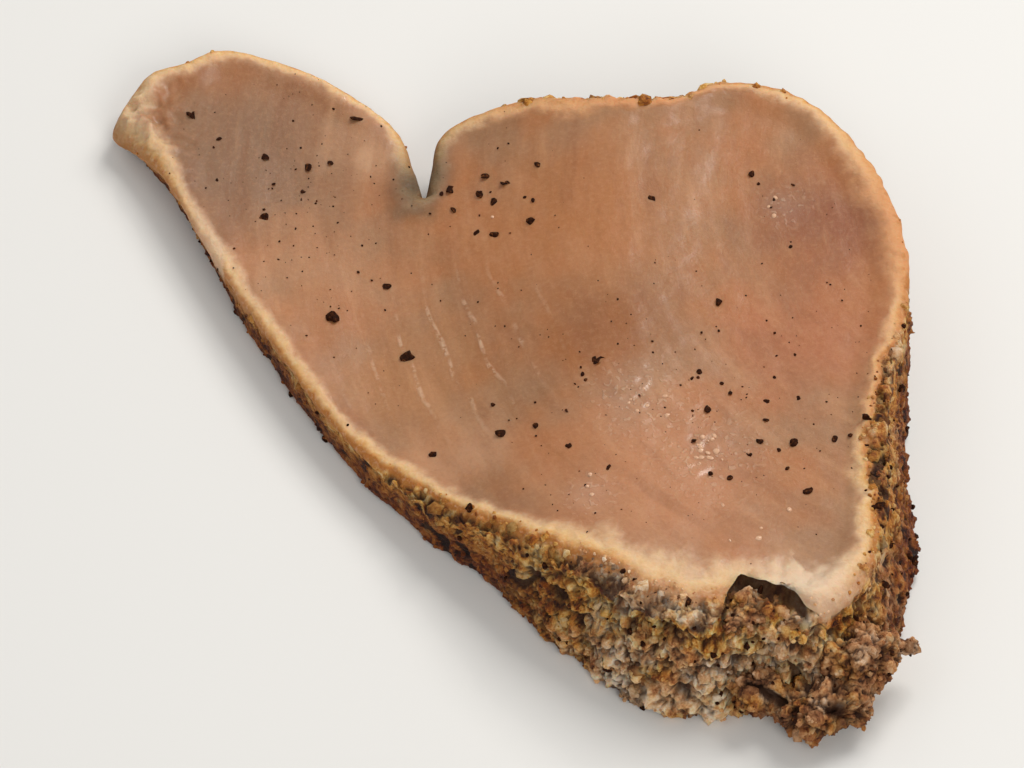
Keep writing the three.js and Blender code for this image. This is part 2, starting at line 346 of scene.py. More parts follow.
# The CAD part stands with its box centred on the origin.  The same move is found from the
# box: its left side touches the torn tip and its far side the top of the thin lobe.
shift = np.array([cad_low.x / MM - curve[:, 0].min(), cad_high.y / MM - curve[:, 1].max()])
ring = np.vstack([curve, curve[:1]])
travelled = np.concatenate([[0], np.cumsum(np.linalg.norm(np.diff(ring, axis=0), axis=1))])
perimeter = travelled[-1]
column_count = round(perimeter / COLUMN_STEP)
along = np.arange(column_count) * perimeter / column_count
columns = np.column_stack([np.interp(along, travelled, ring[:, axis]) for axis in (0, 1)])
window = round(OUT_REACH / COLUMN_STEP)
chord = np.roll(columns, -window, axis=0) - np.roll(columns, window, axis=0)
chord /= np.linalg.norm(chord, axis=1, keepdims=True)
out = np.column_stack([-chord[:, 1], chord[:, 0]])
print(f"edge {perimeter:.1f} mm, {column_count} columns, shift {shift.round(3)}")

# %% [markdown]
# ## Heights and offsets
#
# The slice is a thin wedge, so its thickness grows from left to right.  The rim is
# rounded, the seared band stands a little above the flesh, and the flesh is dished by the
# knife.  The wall leans out at the front and right, because the loin was cut on the slant.
# Sculpting could give these forms, but rules with named sizes can be repeated and changed.
# They are the same rules as in the CAD solid, and the fine relief is added to them later.

# %% Rules of the form
THIN = 5.0
THICK = 11.5
WEDGE = (-13.0, 12.0)
LIP = {"height": 0.7, "width": 3.0}
LOW_LIP = 0.35  # height of the band at the left and back, where it is thin
DISH = 0.5
KNIFE_WAVE = {"size": 15.0, "height": 0.35}
RIM = {"width": 1.1, "drop": 0.7}
FRONT_RIM = {"width": 1.5, "drop": 1.0}
ROLL = {"x": -10.0, "y": 26.6, "reach": 6.0, "width": 3.4, "drop": 2.2}
TORN = {"x": -35.0, "y": 30.5, "reach": 5.0, "width": 1.8, "drop": 1.9}
NOTCH = (-8.6, -6.6)  # left and right side of the notch
FOOT_ROUND = 0.7
LEAN = {"front": 4.6, "right": 3.2, "back": -1.2, "left": -1.0, "torn": -0.8}
CRAGS = ((3.4, 0.65), (1.7, 0.3))  # size and height of the unevenness of the wall
RIDGE = {"x": 26.0, "y": -28.6, "reach": 3.6, "width": 1.6, "height": 0.45}  # curled rim


def smoothstep(value, low, high):
    share = np.clip((value - low) / (high - low), 0, 1)
    return share * share * (3 - 2 * share)


def near(place, x, y):
    """1 at the place, fading to nothing a little past its reach."""
    return np.exp(-((x - place["x"]) ** 2 + (y - place["y"]) ** 2) / place["reach"] ** 2)


def smooth_noise(x, y, z, size):
    """Noise from -1 to 1 whose lumps have that size in mm.  Flat uses differ by their z."""
    places = np.column_stack(np.broadcast_arrays(x, y, z)) / size
    return np.array([noise.noise(place) for place in places.tolist()])


def thickness(x):
    return THIN + (THICK - THIN) * smoothstep(x, *WEDGE)


def rim_at(x, y, key):
    """Width or drop of the rounding of the rim."""
    front = smoothstep(x, -3, 12) * smoothstep(-y, 8, 20)
    roll = near(ROLL, x, y) * (1 - smoothstep(x, *NOTCH))
    torn = near(TORN, x, y)
    return RIM[key] + front * FRONT_RIM[key] + roll * ROLL[key] + torn * TORN[key]


def face_height(x, y, inside):
    """Height of the top face, at a distance inside its edge."""
    slope = np.clip(1 - inside / rim_at(x, y, "width"), 0, 1)
    rounding = rim_at(x, y, "drop") * (1 - np.sqrt(1 - slope**2))
    lip = LOW_LIP + (LIP["height"] - LOW_LIP) * smoothstep(x - 0.5 * y, 0, 24)
    sink = LIP["height"] - lip * (1 - smoothstep(inside, 0.4 * LIP["width"], 1.3 * LIP["width"]))
    dish = DISH * smoothstep(inside, LIP["width"], 5 * LIP["width"])
    wave = KNIFE_WAVE["height"] * smooth_noise(x, y, 2.5, KNIFE_WAVE["size"])
    ridge = RIDGE["height"] * near(RIDGE, x, y) * np.exp(-((inside / RIDGE["width"] - 1) ** 2))
    return thickness(x) - rounding - sink - dish + wave + ridge


print("thickness from", thickness(WEDGE[0]), "to", thickness(WEDGE[1]), "mm")

# %% [markdown]
# ## The four sides and the split
#
# Front, right, back and left run into each other, so each column of the edge gets a share
# of every side, found from the way it faces.  Near the front corner the seared rim has
# split away from the crust under it.  A cut with a Boolean would leave a hard box, so the
# edge itself moves in there instead, sharply on the left and running out to the right, and
# the wall below comes back to its place within a few millimetres.

# %% What changes along the edge
BARE_WALL = {"x": -7.6, "y": 22.5, "reach": 5.5}  # in the notch the flesh is bare and calm

column_x, column_y = columns.T
out_x, out_y = out.T
front = smoothstep(-out_y, 0.1, 0.9) * smoothstep(column_x, -3, 12)
right = smoothstep(out_x, 0.5, 1.0) * smoothstep(-column_y, -8, 16)
back = smoothstep(out_y, 0.3, 0.9)
left = smoothstep(-out_x, 0.3, 0.8) * smoothstep(column_y, 8, 20)
lean = LEAN["front"] * front + LEAN["right"] * right * (1 - front) + LEAN["back"] * back
lean += LEAN["left"] * left * (1 - back) + LEAN["torn"] * near(TORN, column_x, column_y)
bare = near(BARE_WALL, column_x, column_y)
roughness = (0.45 + 0.55 * smoothstep(column_x, -14, 8)) * (1 - 0.85 * bare)
print("wall leans out by at most", round(lean.max(), 2), "mm")

# %% The split
SPLIT = {"x": 21.0, "y": -30.7, "depth": 3.8, "length": 6.8, "undercut": 0.5}

split_column = np.argmin(np.hypot(column_x - SPLIT["x"], column_y - SPLIT["y"]))
past_split = along[split_column] - along  # the edge runs clockwise, so right is back along it
opening = smoothstep(past_split, -3.2, 0.4) * np.clip(1 - past_split / SPLIT["length"], 0, 1)
opening *= 1 + 0.2 * smooth_noise(column_x, column_y, 21.0, 1.2)


def split_depth(down):
    """How far the rim has split by the front corner.

    It reaches a little under the rim, and further down the crust fills it.  Down is 0 at
    the edge of the face and 1 at the foot of the wall.
    """
    depth = SPLIT["depth"] * opening * (1 - smoothstep(down, 0.02, 0.24))
    under = smoothstep(down, 0.0, 0.03) * (1 - smoothstep(down, 0.05, 0.10))
    return depth + SPLIT["undercut"] * under * smoothstep(opening, 0, 0.15)


# The edge itself is a little ragged, most of all in the crumbly front.
RAGGED = ((2.2, 0.22), (0.9, 0.16))  # size and height of the unevenness
ragged = sum(height * smooth_noise(column_x, column_y, 7.0, size) for size, height in RAGGED)
ragged *= roughness
whole_edge = columns + out * ragged[:, None]
edge = whole_edge - out * split_depth(0)[:, None]
print("the split is", round(split_depth(0).max(), 2), "mm deep")

# %% [markdown]
# ## Distance from the edge
#
# The cooked band follows the edge, so the flesh needs to know how far each place is from
# it.  Blender's nearest-surface tools could tell, one place at a time.  Here the distance to
# every short stretch of the edge is worked out for a few thousand places at a time, which
# numpy does quickly, and the nearest one is kept.

# %% Distance to the edge
PLACES_AT_ONCE = 2000


def nearest_on(outline, places):
    """For each place: its distance to a closed outline, and the outline's nearest column."""
    steps = np.roll(outline, -1, axis=0) - outline
    squares = (steps**2).sum(axis=1)
    distances, nearest = [], []
    for first in range(0, len(places), PLACES_AT_ONCE):
        some = places[first : first + PLACES_AT_ONCE, None, :]
        share = np.clip(((some - outline) * steps).sum(axis=2) / squares, 0, 1)
        away = np.linalg.norm(some - outline - share[:, :, None] * steps, axis=2)
        nearest.append(away.argmin(axis=1))
        distances.append(away.min(axis=1))
    return np.concatenate(distances), np.concatenate(nearest)


# %% [markdown]
# ## Points of the faces
#
# Rays to one middle point would crowd there and leave the rim coarse, so the top face is
# filled with an even honeycomb of points instead, and rows close to the edge follow it
# where the rim curves.  Blender's constrained Delaunay triangulation then joins the points
# within the edge.

# %% Points and triangles
HONEYCOMB = 0.35
BASE_HONEYCOMB = 1.2
ROUNDING_ANGLES = np.radians([9, 18, 27, 36, 46, 56])


def inside_outline(outline, places):
    """Even-odd test of places against a closed outline."""
    x, y = places[:, :1], places[:, 1:]
    x1, y1 = outline.T
    x2, y2 = np.roll(outline, -1, axis=0).T
    crosses = ((y1 > y) != (y2 > y)) & (x < (x2 - x1) * (y - y1) / (y2 - y1 + 1e-12) + x1)
    return crosses.sum(axis=1) % 2 == 1


def honeycomb(outline, step):
    """Points of a triangular lattice that lie within the outline."""
    low, high = outline.min(axis=0), outline.max(axis=0)
    rows = np.arange(low[1], high[1], step * math.sqrt(3) / 2)
    across = np.arange(low[0], high[0], step)
    x = across[None, :] + (np.arange(len(rows)) % 2 * step / 2)[:, None]
    y = np.broadcast_to(rows[:, None], x.shape)
    places = np.column_stack([x.ravel(), y.ravel()])
    parts = [part[inside_outline(outline, part)] for part in np.array_split(places, 20)]
    return np.vstack(parts)


def fill(outline, inner):
    """Triangles, facing up, that join an outline and the points within it."""
    places = [Vector(place) for place in np.vstack([outline, inner]).tolist()]
    loop = list(range(len(outline)))[::-1]  # the outline runs clockwise
    made = delaunay_2d_cdt(places, [], [loop], 1, 1e-5)
    source = [sources[0] for sources in made[3]]
    return [[source[corner] for corner in triangle] for triangle in made[2]]


# Rows that follow the rounding of the rim, without those that come nearer to the edge
# on another side.
rim_width = rim_at(*edge.T, "width")
reaches = [rim_width * (1 - math.cos(angle)) for angle in ROUNDING_ANGLES]
rows = np.vstack([edge - out * reach[:, None] for reach in reaches])
row_reach = np.concatenate(reaches)
row_inside, _ = nearest_on(edge, rows)
rows = rows[inside_outline(edge, rows) & (row_inside > 0.9 * row_reach)]

lattice = honeycomb(edge, HONEYCOMB)
lattice_inside, lattice_nearest = nearest_on(edge, lattice)
clear_of_rows = reaches[-1][lattice_nearest] + 0.5 * HONEYCOMB
lattice = lattice[lattice_inside > clear_of_rows]
face_inner = np.vstack([rows, lattice])
face_triangles = fill(edge, face_inner)
print(len(face_inner), "points and", len(face_triangles), "triangles on the top face")

# %% [markdown]
# ## The cooked band
#
# Searing cooks a thin band of the flesh along the edge.  It is wide in front and narrow at
# the sides, and crust creeps over the rim in places and covers part of it.  A texture
# painted by hand could show it, but a value worked out for each point also shapes the
# relief: 0 where the crust ends, 1 where the flesh is raw, and below 0 under the crust.

# %% Width of the cooked band
BAND_WIDTHS = {"left": 1.25, "front": 3.0, "right": 1.4, "back": 1.3, "torn": 3.0}
CRUST_ON_RIM = (
    # where the crust creeps over the rim, and how far in mm: right, back, then the front
    ({"x": 34.0, "y": -12.0, "reach": 12.0}, 1.8),
    ({"x": 12.0, "y": 29.5, "reach": 12.0}, 0.6),
    ({"x": 10.0, "y": -27.0, "reach": 12.0}, 1.9),
    ({"x": 19.0, "y": -31.0, "reach": 3.6}, 1.5),
    ({"x": -6.0, "y": -15.0, "reach": 8.0}, 1.1),
)
CRUST_STEP = 2.2  # how much faster than the band the crust sets in
BAND_CHANGES = (
    # where the band is wider or narrower than its side, and by how much
    ({"x": 2.0, "y": 29.0, "reach": 5.0}, 0.6),
    ({"x": 16.0, "y": 28.5, "reach": 5.0}, -0.5),
    ({"x": 35.0, "y": 14.0, "reach": 8.0}, 0.4),
    ({"x": 34.0, "y": -5.0, "reach": 7.0}, -0.3),
    ({"x": 13.0, "y": -29.0, "reach": 9.0}, 0.9),
    ({"x": 21.0, "y": -31.0, "reach": 3.0}, 0.4),
    ({"x": 26.0, "y": -31.0, "reach": 3.6}, 2.6),
)


def along_the_edge(values):
    """A value for each column, from those of the four sides."""
    mixed = np.full(column_count, values["left"])
    for side, share in (("back", back), ("right", smoothstep(out_x, 0.4, 0.9)), ("front", front)):
        mixed += share * (values[side] - mixed)
    return mixed


torn_columns = near(TORN, column_x, column_y)
band_width = along_the_edge(BAND_WIDTHS)
band_width += torn_columns * (BAND_WIDTHS["torn"] - band_width)
band_width += sum(change * near(place, column_x, column_y) for place, change in BAND_CHANGES)


def uneven_width(x, y):
    """The band is wider here and narrower there."""
    return (1 + 0.45 * smooth_noise(x, y, 3.0, 4.5)) * (1 + 0.15 * smooth_noise(x, y, 9.0, 1.6))


def crust_on_rim(x, y):
    """How far in mm the crust creeps over the rim."""
    reach = sum(reach * near(place, x, y) for place, reach in CRUST_ON_RIM)
    return reach * (1 + 0.5 * smooth_noise(x, y, 15.0, 2.2))


face_places = np.vstack([edge, face_inner])
# The band and the dish of the flesh follow the edge as it was before it split.
face_inside, face_column = nearest_on(whole_edge, face_places)
face_x, face_y = face_places.T
face_crept = crust_on_rim(face_x, face_y)
face_width = band_width[face_column] * uneven_width(face_x, face_y)
face_sear = (face_inside - face_crept) / face_width
face_sear = np.where(face_sear < 0, CRUST_STEP * face_sear, face_sear)
print(f"band {face_width.min():.1f} to {face_width.max():.1f} mm wide")

# %% [markdown]
# ## Relief of the flesh
#
# Tuna is built of thin curved sheets of muscle.  Where the knife crosses them, the face
# shows faint streaks along arcs, all about one far centre.  Noise that is read at the
# radius and the length along the arc, and not at x and y, is drawn out along them.  It
# stands out by less than a tenth of a millimetre.  The cooked band is drier and crumbles a
# little, and at the torn tip it breaks into small steps.  Bump alone could show the
# streaks, but real relief also bends the glints of the wet places.

# %% Heights of the top face
ARCS = {"x": 54.2, "y": 19.8, "radius": 60.0, "spacing": 3.1}  # centre of the muscle sheets
STREAK_RELIEF = ((2.4, 12.0, 0.06), (1.0, 5.0, 0.025))  # size across, size along, height
GRAIN_RELIEF = ((1.8, 0.04), (0.75, 0.02))  # this and the next ones: size and height
WET_RELIEF = ((0.9, 0.06),)  # only where juice makes the face glint
WET_PLACES = (
    {"x": 11.5, "y": -6.5, "reach": 4.0},
    {"x": 18.0, "y": -13.0, "reach": 4.5},
    {"x": 7.6, "y": -17.3, "reach": 2.2},
    {"x": 25.0, "y": 15.0, "reach": 2.0},
)
BAND_RELIEF = ((1.3, 0.20), (0.7, 0.18))
TORN_RELIEF = ((2.2, 0.5), (1.0, 0.35))


def ridged(x, y, z, size):
    """Noise folded at its middle: sharp valleys between rounded ridges, from -1 to 1."""
    return 1 - 4 * np.abs(smooth_noise(x, y, z, size)).clip(0, 0.5)


cooked = 1 - smoothstep(face_sear, 0.6, 1.3)
radius = np.hypot(face_x - ARCS["x"], face_y - ARCS["y"])
arc = ARCS["radius"] * np.arctan2(face_y - ARCS["y"], ARCS["x"] - face_x)
face_z = face_height(face_x, face_y, face_inside)
away_from_edge = smoothstep(face_inside, 0, 0.8)
for across, lengthwise, height in STREAK_RELIEF:
    face_z += height * (1 - cooked) * smooth_noise(radius / across, arc / lengthwise, across, 1)
for size, height in GRAIN_RELIEF:
    face_z += height * (1 - cooked) * smooth_noise(face_x, face_y, 4.0, size)
wetness = np.clip(sum(near(place, face_x, face_y) for place in WET_PLACES), 0, 1)
for size, height in WET_RELIEF:
    face_z += height * (1 - cooked) * wetness * smooth_noise(face_x, face_y, 8.0, size)
for size, height in BAND_RELIEF:
    face_z += height * cooked * away_from_edge * smooth_noise(face_x, face_y, 5.0, size)
torn = near(TORN, face_x, face_y)
for size, height in TORN_RELIEF:
    face_z += height * torn * away_from_edge * ridged(face_x, face_y, 6.0, size)
print("top face from", round(face_z.min(), 2), "to", round(face_z.max(), 2), "mm high")

# %% [markdown]
# ## Relief of the crust
#
# The crust is packed crumbs.  Each could be a small body of its own, but most of it would
# be hidden, so the wall itself takes their form.  Worley noise gives it: the gap between
# the nearest and the second nearest cell centre is wide on top of a crumb and closes to
# nothing in the crevice round it.  The same function gives each crumb a tone of its own,
# and a second one paints shade into the crevices by their depth.  In places crumbs have
# broken away and leave a pit, which gets the same painted shade.

# %% Packed crumbs
PEBBLES = (
    # size of the crumbs, then the depth of the crevices at the front and elsewhere
    (2.6, 0.95, 0.10),
    (1.35, 0.58, 0.26),
    (0.6, 0.12, 0.13),
)
UNEVEN_CRUMBS = 0.45  # bends the borders of the crumbs, in crumb sizes
CRUMB_LEVEL = 0.7  # this share of a crumb's height lies below the even surface
FULL_SHADE_DEPTH = 0.3  # a crevice of this depth in mm, or deeper, gets the full painted shade
PITS = {"size": 1.5, "depth": 0.8, "from": 0.28, "to": 0.42}
EVEN_TONE = 0.6  # where there are no crumbs


def packed_crumbs(x, y, z, size):
    """Height from 0 in a crevice to 1 on a crumb, and each crumb's own random tone."""
    heights, tones = [], []
    for place in (np.column_stack([x, y, z]) / size).tolist():
        bend = noise.noise_vector(Vector(place) * 1.9)
        away, centres = noise.voronoi(Vector(place) + bend * UNEVEN_CRUMBS)
        heights.append(away[1] - away[0])
        tones.append(noise.cell(centres[0] * 7.3))
    return np.sqrt(np.clip(np.array(heights) / 0.6, 0, 1)), np.array(tones) % 1.0


def painted_crevice_shade(height, depth):
    """Painted shade in the crevices between crumbs of that height and depth: 1 is darkest."""
    return (1 - height) * np.minimum(depth / FULL_SHADE_DEPTH, 1)


def pits_at(x, y, z):
    """1 in the pits where crumbs have broken away, which get painted shade, and 0 round them."""
    return smoothstep(smooth_noise(x, y, z + 30.0, PITS["size"]), PITS["from"], PITS["to"])


# %% Crumbs on the rim
RIM_RELIEF = 0.9  # share of the front wall's relief that the covered rim has
RIM_PITS = 0.6  # and share of the depth of its pits

on_rim = 1 - smoothstep(face_inside - face_crept, -0.4, 0.3)
on_rim *= smoothstep(face_crept, 0.2, 0.9)
covered_rim = on_rim > 0
rim_share = on_rim[covered_rim]
rim_place = (face_x[covered_rim], face_y[covered_rim], face_z[covered_rim])
rim_painted_shade = np.zeros(len(rim_share))
for size, front_depth, _ in PEBBLES:
    height, tone = packed_crumbs(*rim_place, size)
    depth = RIM_RELIEF * front_depth
    face_z[covered_rim] += depth * (height - CRUMB_LEVEL) * rim_share
    # Painted shade in the crevices of the crust on the rim, darker where they are deeper.
    rim_painted_shade = np.maximum(rim_painted_shade, painted_crevice_shade(height, depth) * rim_share)
rim_pits = pits_at(*rim_place) * rim_share
face_z[covered_rim] -= RIM_PITS * PITS["depth"] * rim_pits
face_painted_shade = np.zeros(len(face_places))
face_painted_shade[covered_rim] = np.maximum(rim_painted_shade, rim_pits)
face_tone = np.full(len(face_places), EVEN_TONE)
face_tone[covered_rim] = tone
print(covered_rim.sum(), "points of the rim are under crust")

# %% [markdown]
# ## The wall
#
# The wall is the seared outside of the loin.  A plain wall with a Displace modifier could
# stand for it, but here the wall is a stack of rows that numpy works out one by one.  Each
# is a copy of the edge that sinks, leans out with the cut, and is pushed out and in by
# crags, crumbs and pits, and it keeps the values that the finish needs.  Three last rows
# round the foot.

# %% Wall and foot
WALL_ROWS = 44
FOOT_ANGLES = np.radians([30, 60, 90])
SIDE_PITS = 0.3  # share of the pits' depth away from the front

edge_z = face_z[:column_count]
column_crept = crust_on_rim(column_x, column_y)
calm = 0.16 - 0.12 * smoothstep(column_crept, 0.2, 0.9)  # from here down the relief is whole
wall_rows, painted_shade_rows, crumb_tones, downs, pits = [], [], [], [], []
for down in np.linspace(0, 1, WALL_ROWS + 1)[1:]:
    z = edge_z + (FOOT_ROUND - edge_z) * down
    strength = roughness * smoothstep(down, -0.03, calm)
    crags = sum(height * smooth_noise(column_x, column_y, z, size) for size, height in CRAGS)
    offset = lean * (smoothstep(down, -0.5, 1.1) - smoothstep(0, -0.5, 1.1))
    offset += strength * crags + ragged * (1 - smoothstep(down, 0, 0.3)) - split_depth(down)
    place = columns + out * offset[:, None]
    pebbles, painted_shade = 0, 0
    for size, front_depth, side_depth in PEBBLES:
        height, tone = packed_crumbs(*place.T, z, size)
        depth = side_depth + (front_depth - side_depth) * front
        pebbles = pebbles + depth * (height - CRUMB_LEVEL)
        # Painted shade in the crevices, by their depth.
        painted_shade = np.maximum(painted_shade, painted_crevice_shade(height, depth))
    pit = pits_at(*place.T, z) * smoothstep(down, 0.03, 0.2)
    hole = PITS["depth"] * pit * (SIDE_PITS + (1 - SIDE_PITS) * front)
    relief = strength * (pebbles - hole)
    # In the split the crust lies almost level, so there its crumbs stand up and not out.
    level = 0.7 * smoothstep(opening, 0.0, 0.3) * (1 - smoothstep(down, 0.15, 0.3))
    place += out * (relief * (1 - level))[:, None]
    wall_rows.append(np.column_stack([place, z + relief * level]))
    # Just under the split rim, painted shade darkens the crust, as in a pit.
    pit = np.maximum(pit, smoothstep(opening, 0.05, 0.25) * (1 - smoothstep(down, 0.07, 0.18)))
    painted_shade_rows.append(np.maximum(painted_shade, pit))
    pits.append(pit)
    crumb_tones.append(tone)
    downs.append(np.full(column_count, down))
last_row = wall_rows[-1][:, :2]
for angle in FOOT_ANGLES:
    place = last_row - out * FOOT_ROUND * (1 - math.cos(angle))
    z = np.full(column_count, FOOT_ROUND * (1 - math.sin(angle)))
    wall_rows.append(np.column_stack([place, z]))
    for values in (painted_shade_rows, crumb_tones, downs, pits):
        values.append(values[-1])
print(len(wall_rows), "rows of the wall")

# %% [markdown]
# ## One closed mesh
#
# Top face, wall and underside could be three objects that are joined later, but then their
# borders might gape.  Here they share their border points, so they make one closed skin.
# The underside needs no detail, so its honeycomb is coarse.

# %% Underside
foot = wall_rows[-1][:, :2]
base_inner = honeycomb(foot, BASE_HONEYCOMB)
base_inside, base_column = nearest_on(foot, base_inner)
kept = base_inside > 0.5 * BASE_HONEYCOMB
base_inner, base_inside, base_column = base_inner[kept], base_inside[kept], base_column[kept]
base_triangles = fill(foot, base_inner)
print(len(base_triangles), "triangles on the underside")

# %% Build the slice
points = np.vstack([
    np.column_stack([face_places, face_z]),
    *wall_rows,
    np.column_stack([base_inner, np.zeros(len(base_inner))]),
])
face_count = len(face_places)
triangles = [tuple(triangle) for triangle in face_triangles]
row_start = [0] + [face_count + row * column_count for row in range(len(wall_rows))]
quads = []
for upper, lower in zip(row_start, row_start[1:]):
    for i in range(column_count):
        j = (i + 1) % column_count
        quads.append((upper + i, upper + j, lower + j, lower + i))
base_start = face_count + len(wall_rows) * column_count


def base_point(index):
    """The number in the whole mesh of a point of the underside."""
    return row_start[-1] + index if index < column_count else base_start + index - column_count


for triangle in base_triangles:
    triangles.append(tuple(base_point(index) for index in reversed(triangle)))

slice_mesh = bpy.data.meshes.new("slice")
placed = points.copy()
placed[:, :2] += shift
slice_mesh.from_pydata((placed * MM).tolist(), [], triangles + quads)
slice_mesh.shade_smooth()
print(len(triangles) + 2 * len(quads), "triangles")

# %% [markdown]
# ## Values for the finish
#
# Heat and crust change from place to place.  The left wall is nearly burnt, the front is
# pale, and the rim is white by the split.  They could be painted on by hand.  Here each is
# a number that is stored on every point as an attribute: how far a place is inside the
# cooked band, how much painted shade it gets in a crevice, how toasted, with painted shade
# down the wall, how pale, how wet.  The materials read them, so the finish follows the
# shape, and they say later where crumbs lie.

# %% How the finish changes along the edge
BURNT = {"left": 0.85, "front": 0.20, "right": 0.90, "back": 0.60}  # how dark the crust is
AMBER = {"left": 1.2, "front": 0.30, "right": 0.70, "back": 0.8}  # from pinkish to golden
GOLDEN = {"left": 0.7, "front": 1.0, "right": 0.5, "back": 1.2}  # the band runs down so far
LEFT_GOLDEN = 2.0  # added to it on the far left
TONGUE = {"x": 15.5, "y": -31.0, "reach": 3.5, "golden": 1.2}  # and left of the split
PALE_PLACES = (
    # the white rim by the split, the torn tip, the middle of the front rim and the left
    ({"x": 26.5, "y": -27.5, "reach": 5.0}, 0.75),
    ({"x": -34.0, "y": 32.0, "reach": 4.5}, 0.25),
    ({"x": 14.0, "y": -28.5, "reach": 8.0}, 0.35),
    ({"x": -27.0, "y": 12.0, "reach": 11.0}, 0.35),
    # below nothing it turns orange, as along the right side and the back
    ({"x": 35.0, "y": 12.0, "reach": 11.0}, -0.8),
    ({"x": 34.0, "y": -8.0, "reach": 8.0}, -0.6),
    ({"x": 13.0, "y": 29.5, "reach": 9.0}, -1.0),
    ({"x": 1.0, "y": 29.0, "reach": 5.0}, -0.4),
)

burnt = along_the_edge(BURNT)
amber = along_the_edge(AMBER)
golden = along_the_edge(GOLDEN)
golden += LEFT_GOLDEN * smoothstep(column_y, 2, 14) * (out_x < -0.3)
golden += TONGUE["golden"] * near(TONGUE, column_x, column_y)
golden *= np.clip(1 + 1.5 * smooth_noise(column_x, column_y, 12.0, 2.8), 0.3, 2.2)
golden *= 1 - 0.8 * smoothstep(opening, 0.0, 0.2)
print(f"the band runs down the wall by {golden.min():.1f} to {golden.max():.1f} mm")

# %% Values on face, wall and underside
FAR_INSIDE = 4.0  # where a place is this many band widths inside, it is raw
FACE_TOAST = 0.5  # crust that creeps over the rim is less burnt than the wall
FOOT_SHADE = {"sides": 0.25, "front": -0.15}  # painted shade darkens the foot of the sides, and the front foot is paler
BARE_FACE = {"x": -7.6, "y": 22.5, "reach": 4.5}
# the torn tip gets this share of the bare colour, as painted shade
TIP_SHADE = 0.25

wall_z = [row[:, 2] for row in wall_rows]
wall_depth = [np.minimum((edge_z - z) / golden, z + 0.3) for z in wall_z]
crept = CRUST_STEP * column_crept / (band_width * uneven_width(column_x, column_y))
base_sear = base_inside / (0.6 * band_width[base_column])
foot_shade = FOOT_SHADE["sides"] + (FOOT_SHADE["front"] - FOOT_SHADE["sides"]) * front
# The crust darkens down the wall and towards the foot: searing, with painted shade on top.
wall_toast_and_shade = [
    burnt * (0.4 + 0.6 * smoothstep(down, -0.1, 0.5)) + foot_shade * smoothstep(down, 0.3, 1.0)
    for down in downs
]
wall_amber = [amber + 0.35 * front * (1 - smoothstep(down, 0.1, 0.5)) for down in downs]
# Bare flesh in the notch; at the torn tip the same value is painted shade.
face_bare_and_tip_shade = near(BARE_FACE, face_x, face_y) + TIP_SHADE * near(TORN, face_x, face_y)
wall_bare_and_tip_shade = [bare + TIP_SHADE * torn_columns] * len(wall_rows)
dry_wall = [np.zeros(column_count)] * len(wall_rows)
nothing_below = np.zeros(len(base_inner))
even_base = np.full(len(base_inner), EVEN_TONE)
print("toast from", round(min(t.min() for t in wall_toast_and_shade), 2), "up")

# %% Store the values


def per_point(face_values, wall_values, base_values):
    return np.concatenate([face_values, *wall_values, base_values]).astype(np.float32)


def store(mesh, name, values):
    mesh.attributes.new(name, "FLOAT", "POINT").data.foreach_set("value", values)


sear = per_point(face_sear, [-depth - crept for depth in wall_depth], base_sear)
pale = sum(strength * near(place, points[:, 0], points[:, 1]) for place, strength in PALE_PLACES)
pale = pale * smoothstep(points[:, 2], 1.0, 6.0) + pale * (points[:, 0] < -25)
FINISH_VALUES = {
    "sear": sear.clip(-9, FAR_INSIDE),
    # the searing, and on the wall also painted shade that grows downwards
    "toast_and_shade": per_point(FACE_TOAST * burnt[face_column], wall_toast_and_shade, burnt[base_column]),
    "wetness": per_point(wetness, dry_wall, nothing_below),
    "amber": per_point(amber[face_column], wall_amber, amber[base_column]),
    # bare flesh in the notch, and painted shade on the torn tip
    "bare": per_point(face_bare_and_tip_shade, wall_bare_and_tip_shade, nothing_below),
    "painted_shade": per_point(face_painted_shade, painted_shade_rows, nothing_below),
    "tone": per_point(face_tone, crumb_tones, even_base),
    "pale": pale.clip(-1, 1).astype(np.float32),
}
for name, values in FINISH_VALUES.items():
    store(slice_mesh, name, values)
print("stored", [a.name for a in slice_mesh.attributes if not a.is_internal])

# %% [markdown]
# ## Lumps of crust
#
# Under the front corner, crumbs have caked together and hang from the slice in lumps, one
# with a small arm, and smaller ones fill the split.  Metaballs could make such lumps, but
# they are hard to place to a millimetre.  Here each lump starts as a stretched ball.  A
# voxel remesh fuses them all into one closed skin, and the same packed-crumb relief is
# then pushed out of it along its normals.

# %% Fused lumps
LUMPS = [
    # x, y, z of the middle, then half its size across, deep and tall: those that hang
    (27.8, -35.0, 2.9, 4.5, 3.4, 3.0),
    (30.6, -31.0, 5.0, 4.2, 3.4, 2.9),
    (22.2, -33.2, 3.4, 2.5, 2.3, 2.6),
    (33.9, -29.4, 4.3, 2.0, 1.0, 0.75),
    # and those that fill the split
    (20.6, -29.0, 9.5, 2.1, 1.7, 1.6),
    (23.1, -29.3, 9.2, 1.9, 1.4, 1.6),
    (25.3, -30.7, 8.9, 1.7, 1.1, 1.5),
    (19.4, -31.0, 8.9, 1.3, 1.0, 1.6),
]
LUMP_VOXEL = 0.24


def evaluated_mesh(item):
    """The mesh of an object with its modifiers applied, as plain data of its own."""
    bpy.context.view_layer.update()
    evaluated = item.evaluated_get(bpy.context.evaluated_depsgraph_get())
    return bpy.data.meshes.new_from_object(evaluated)


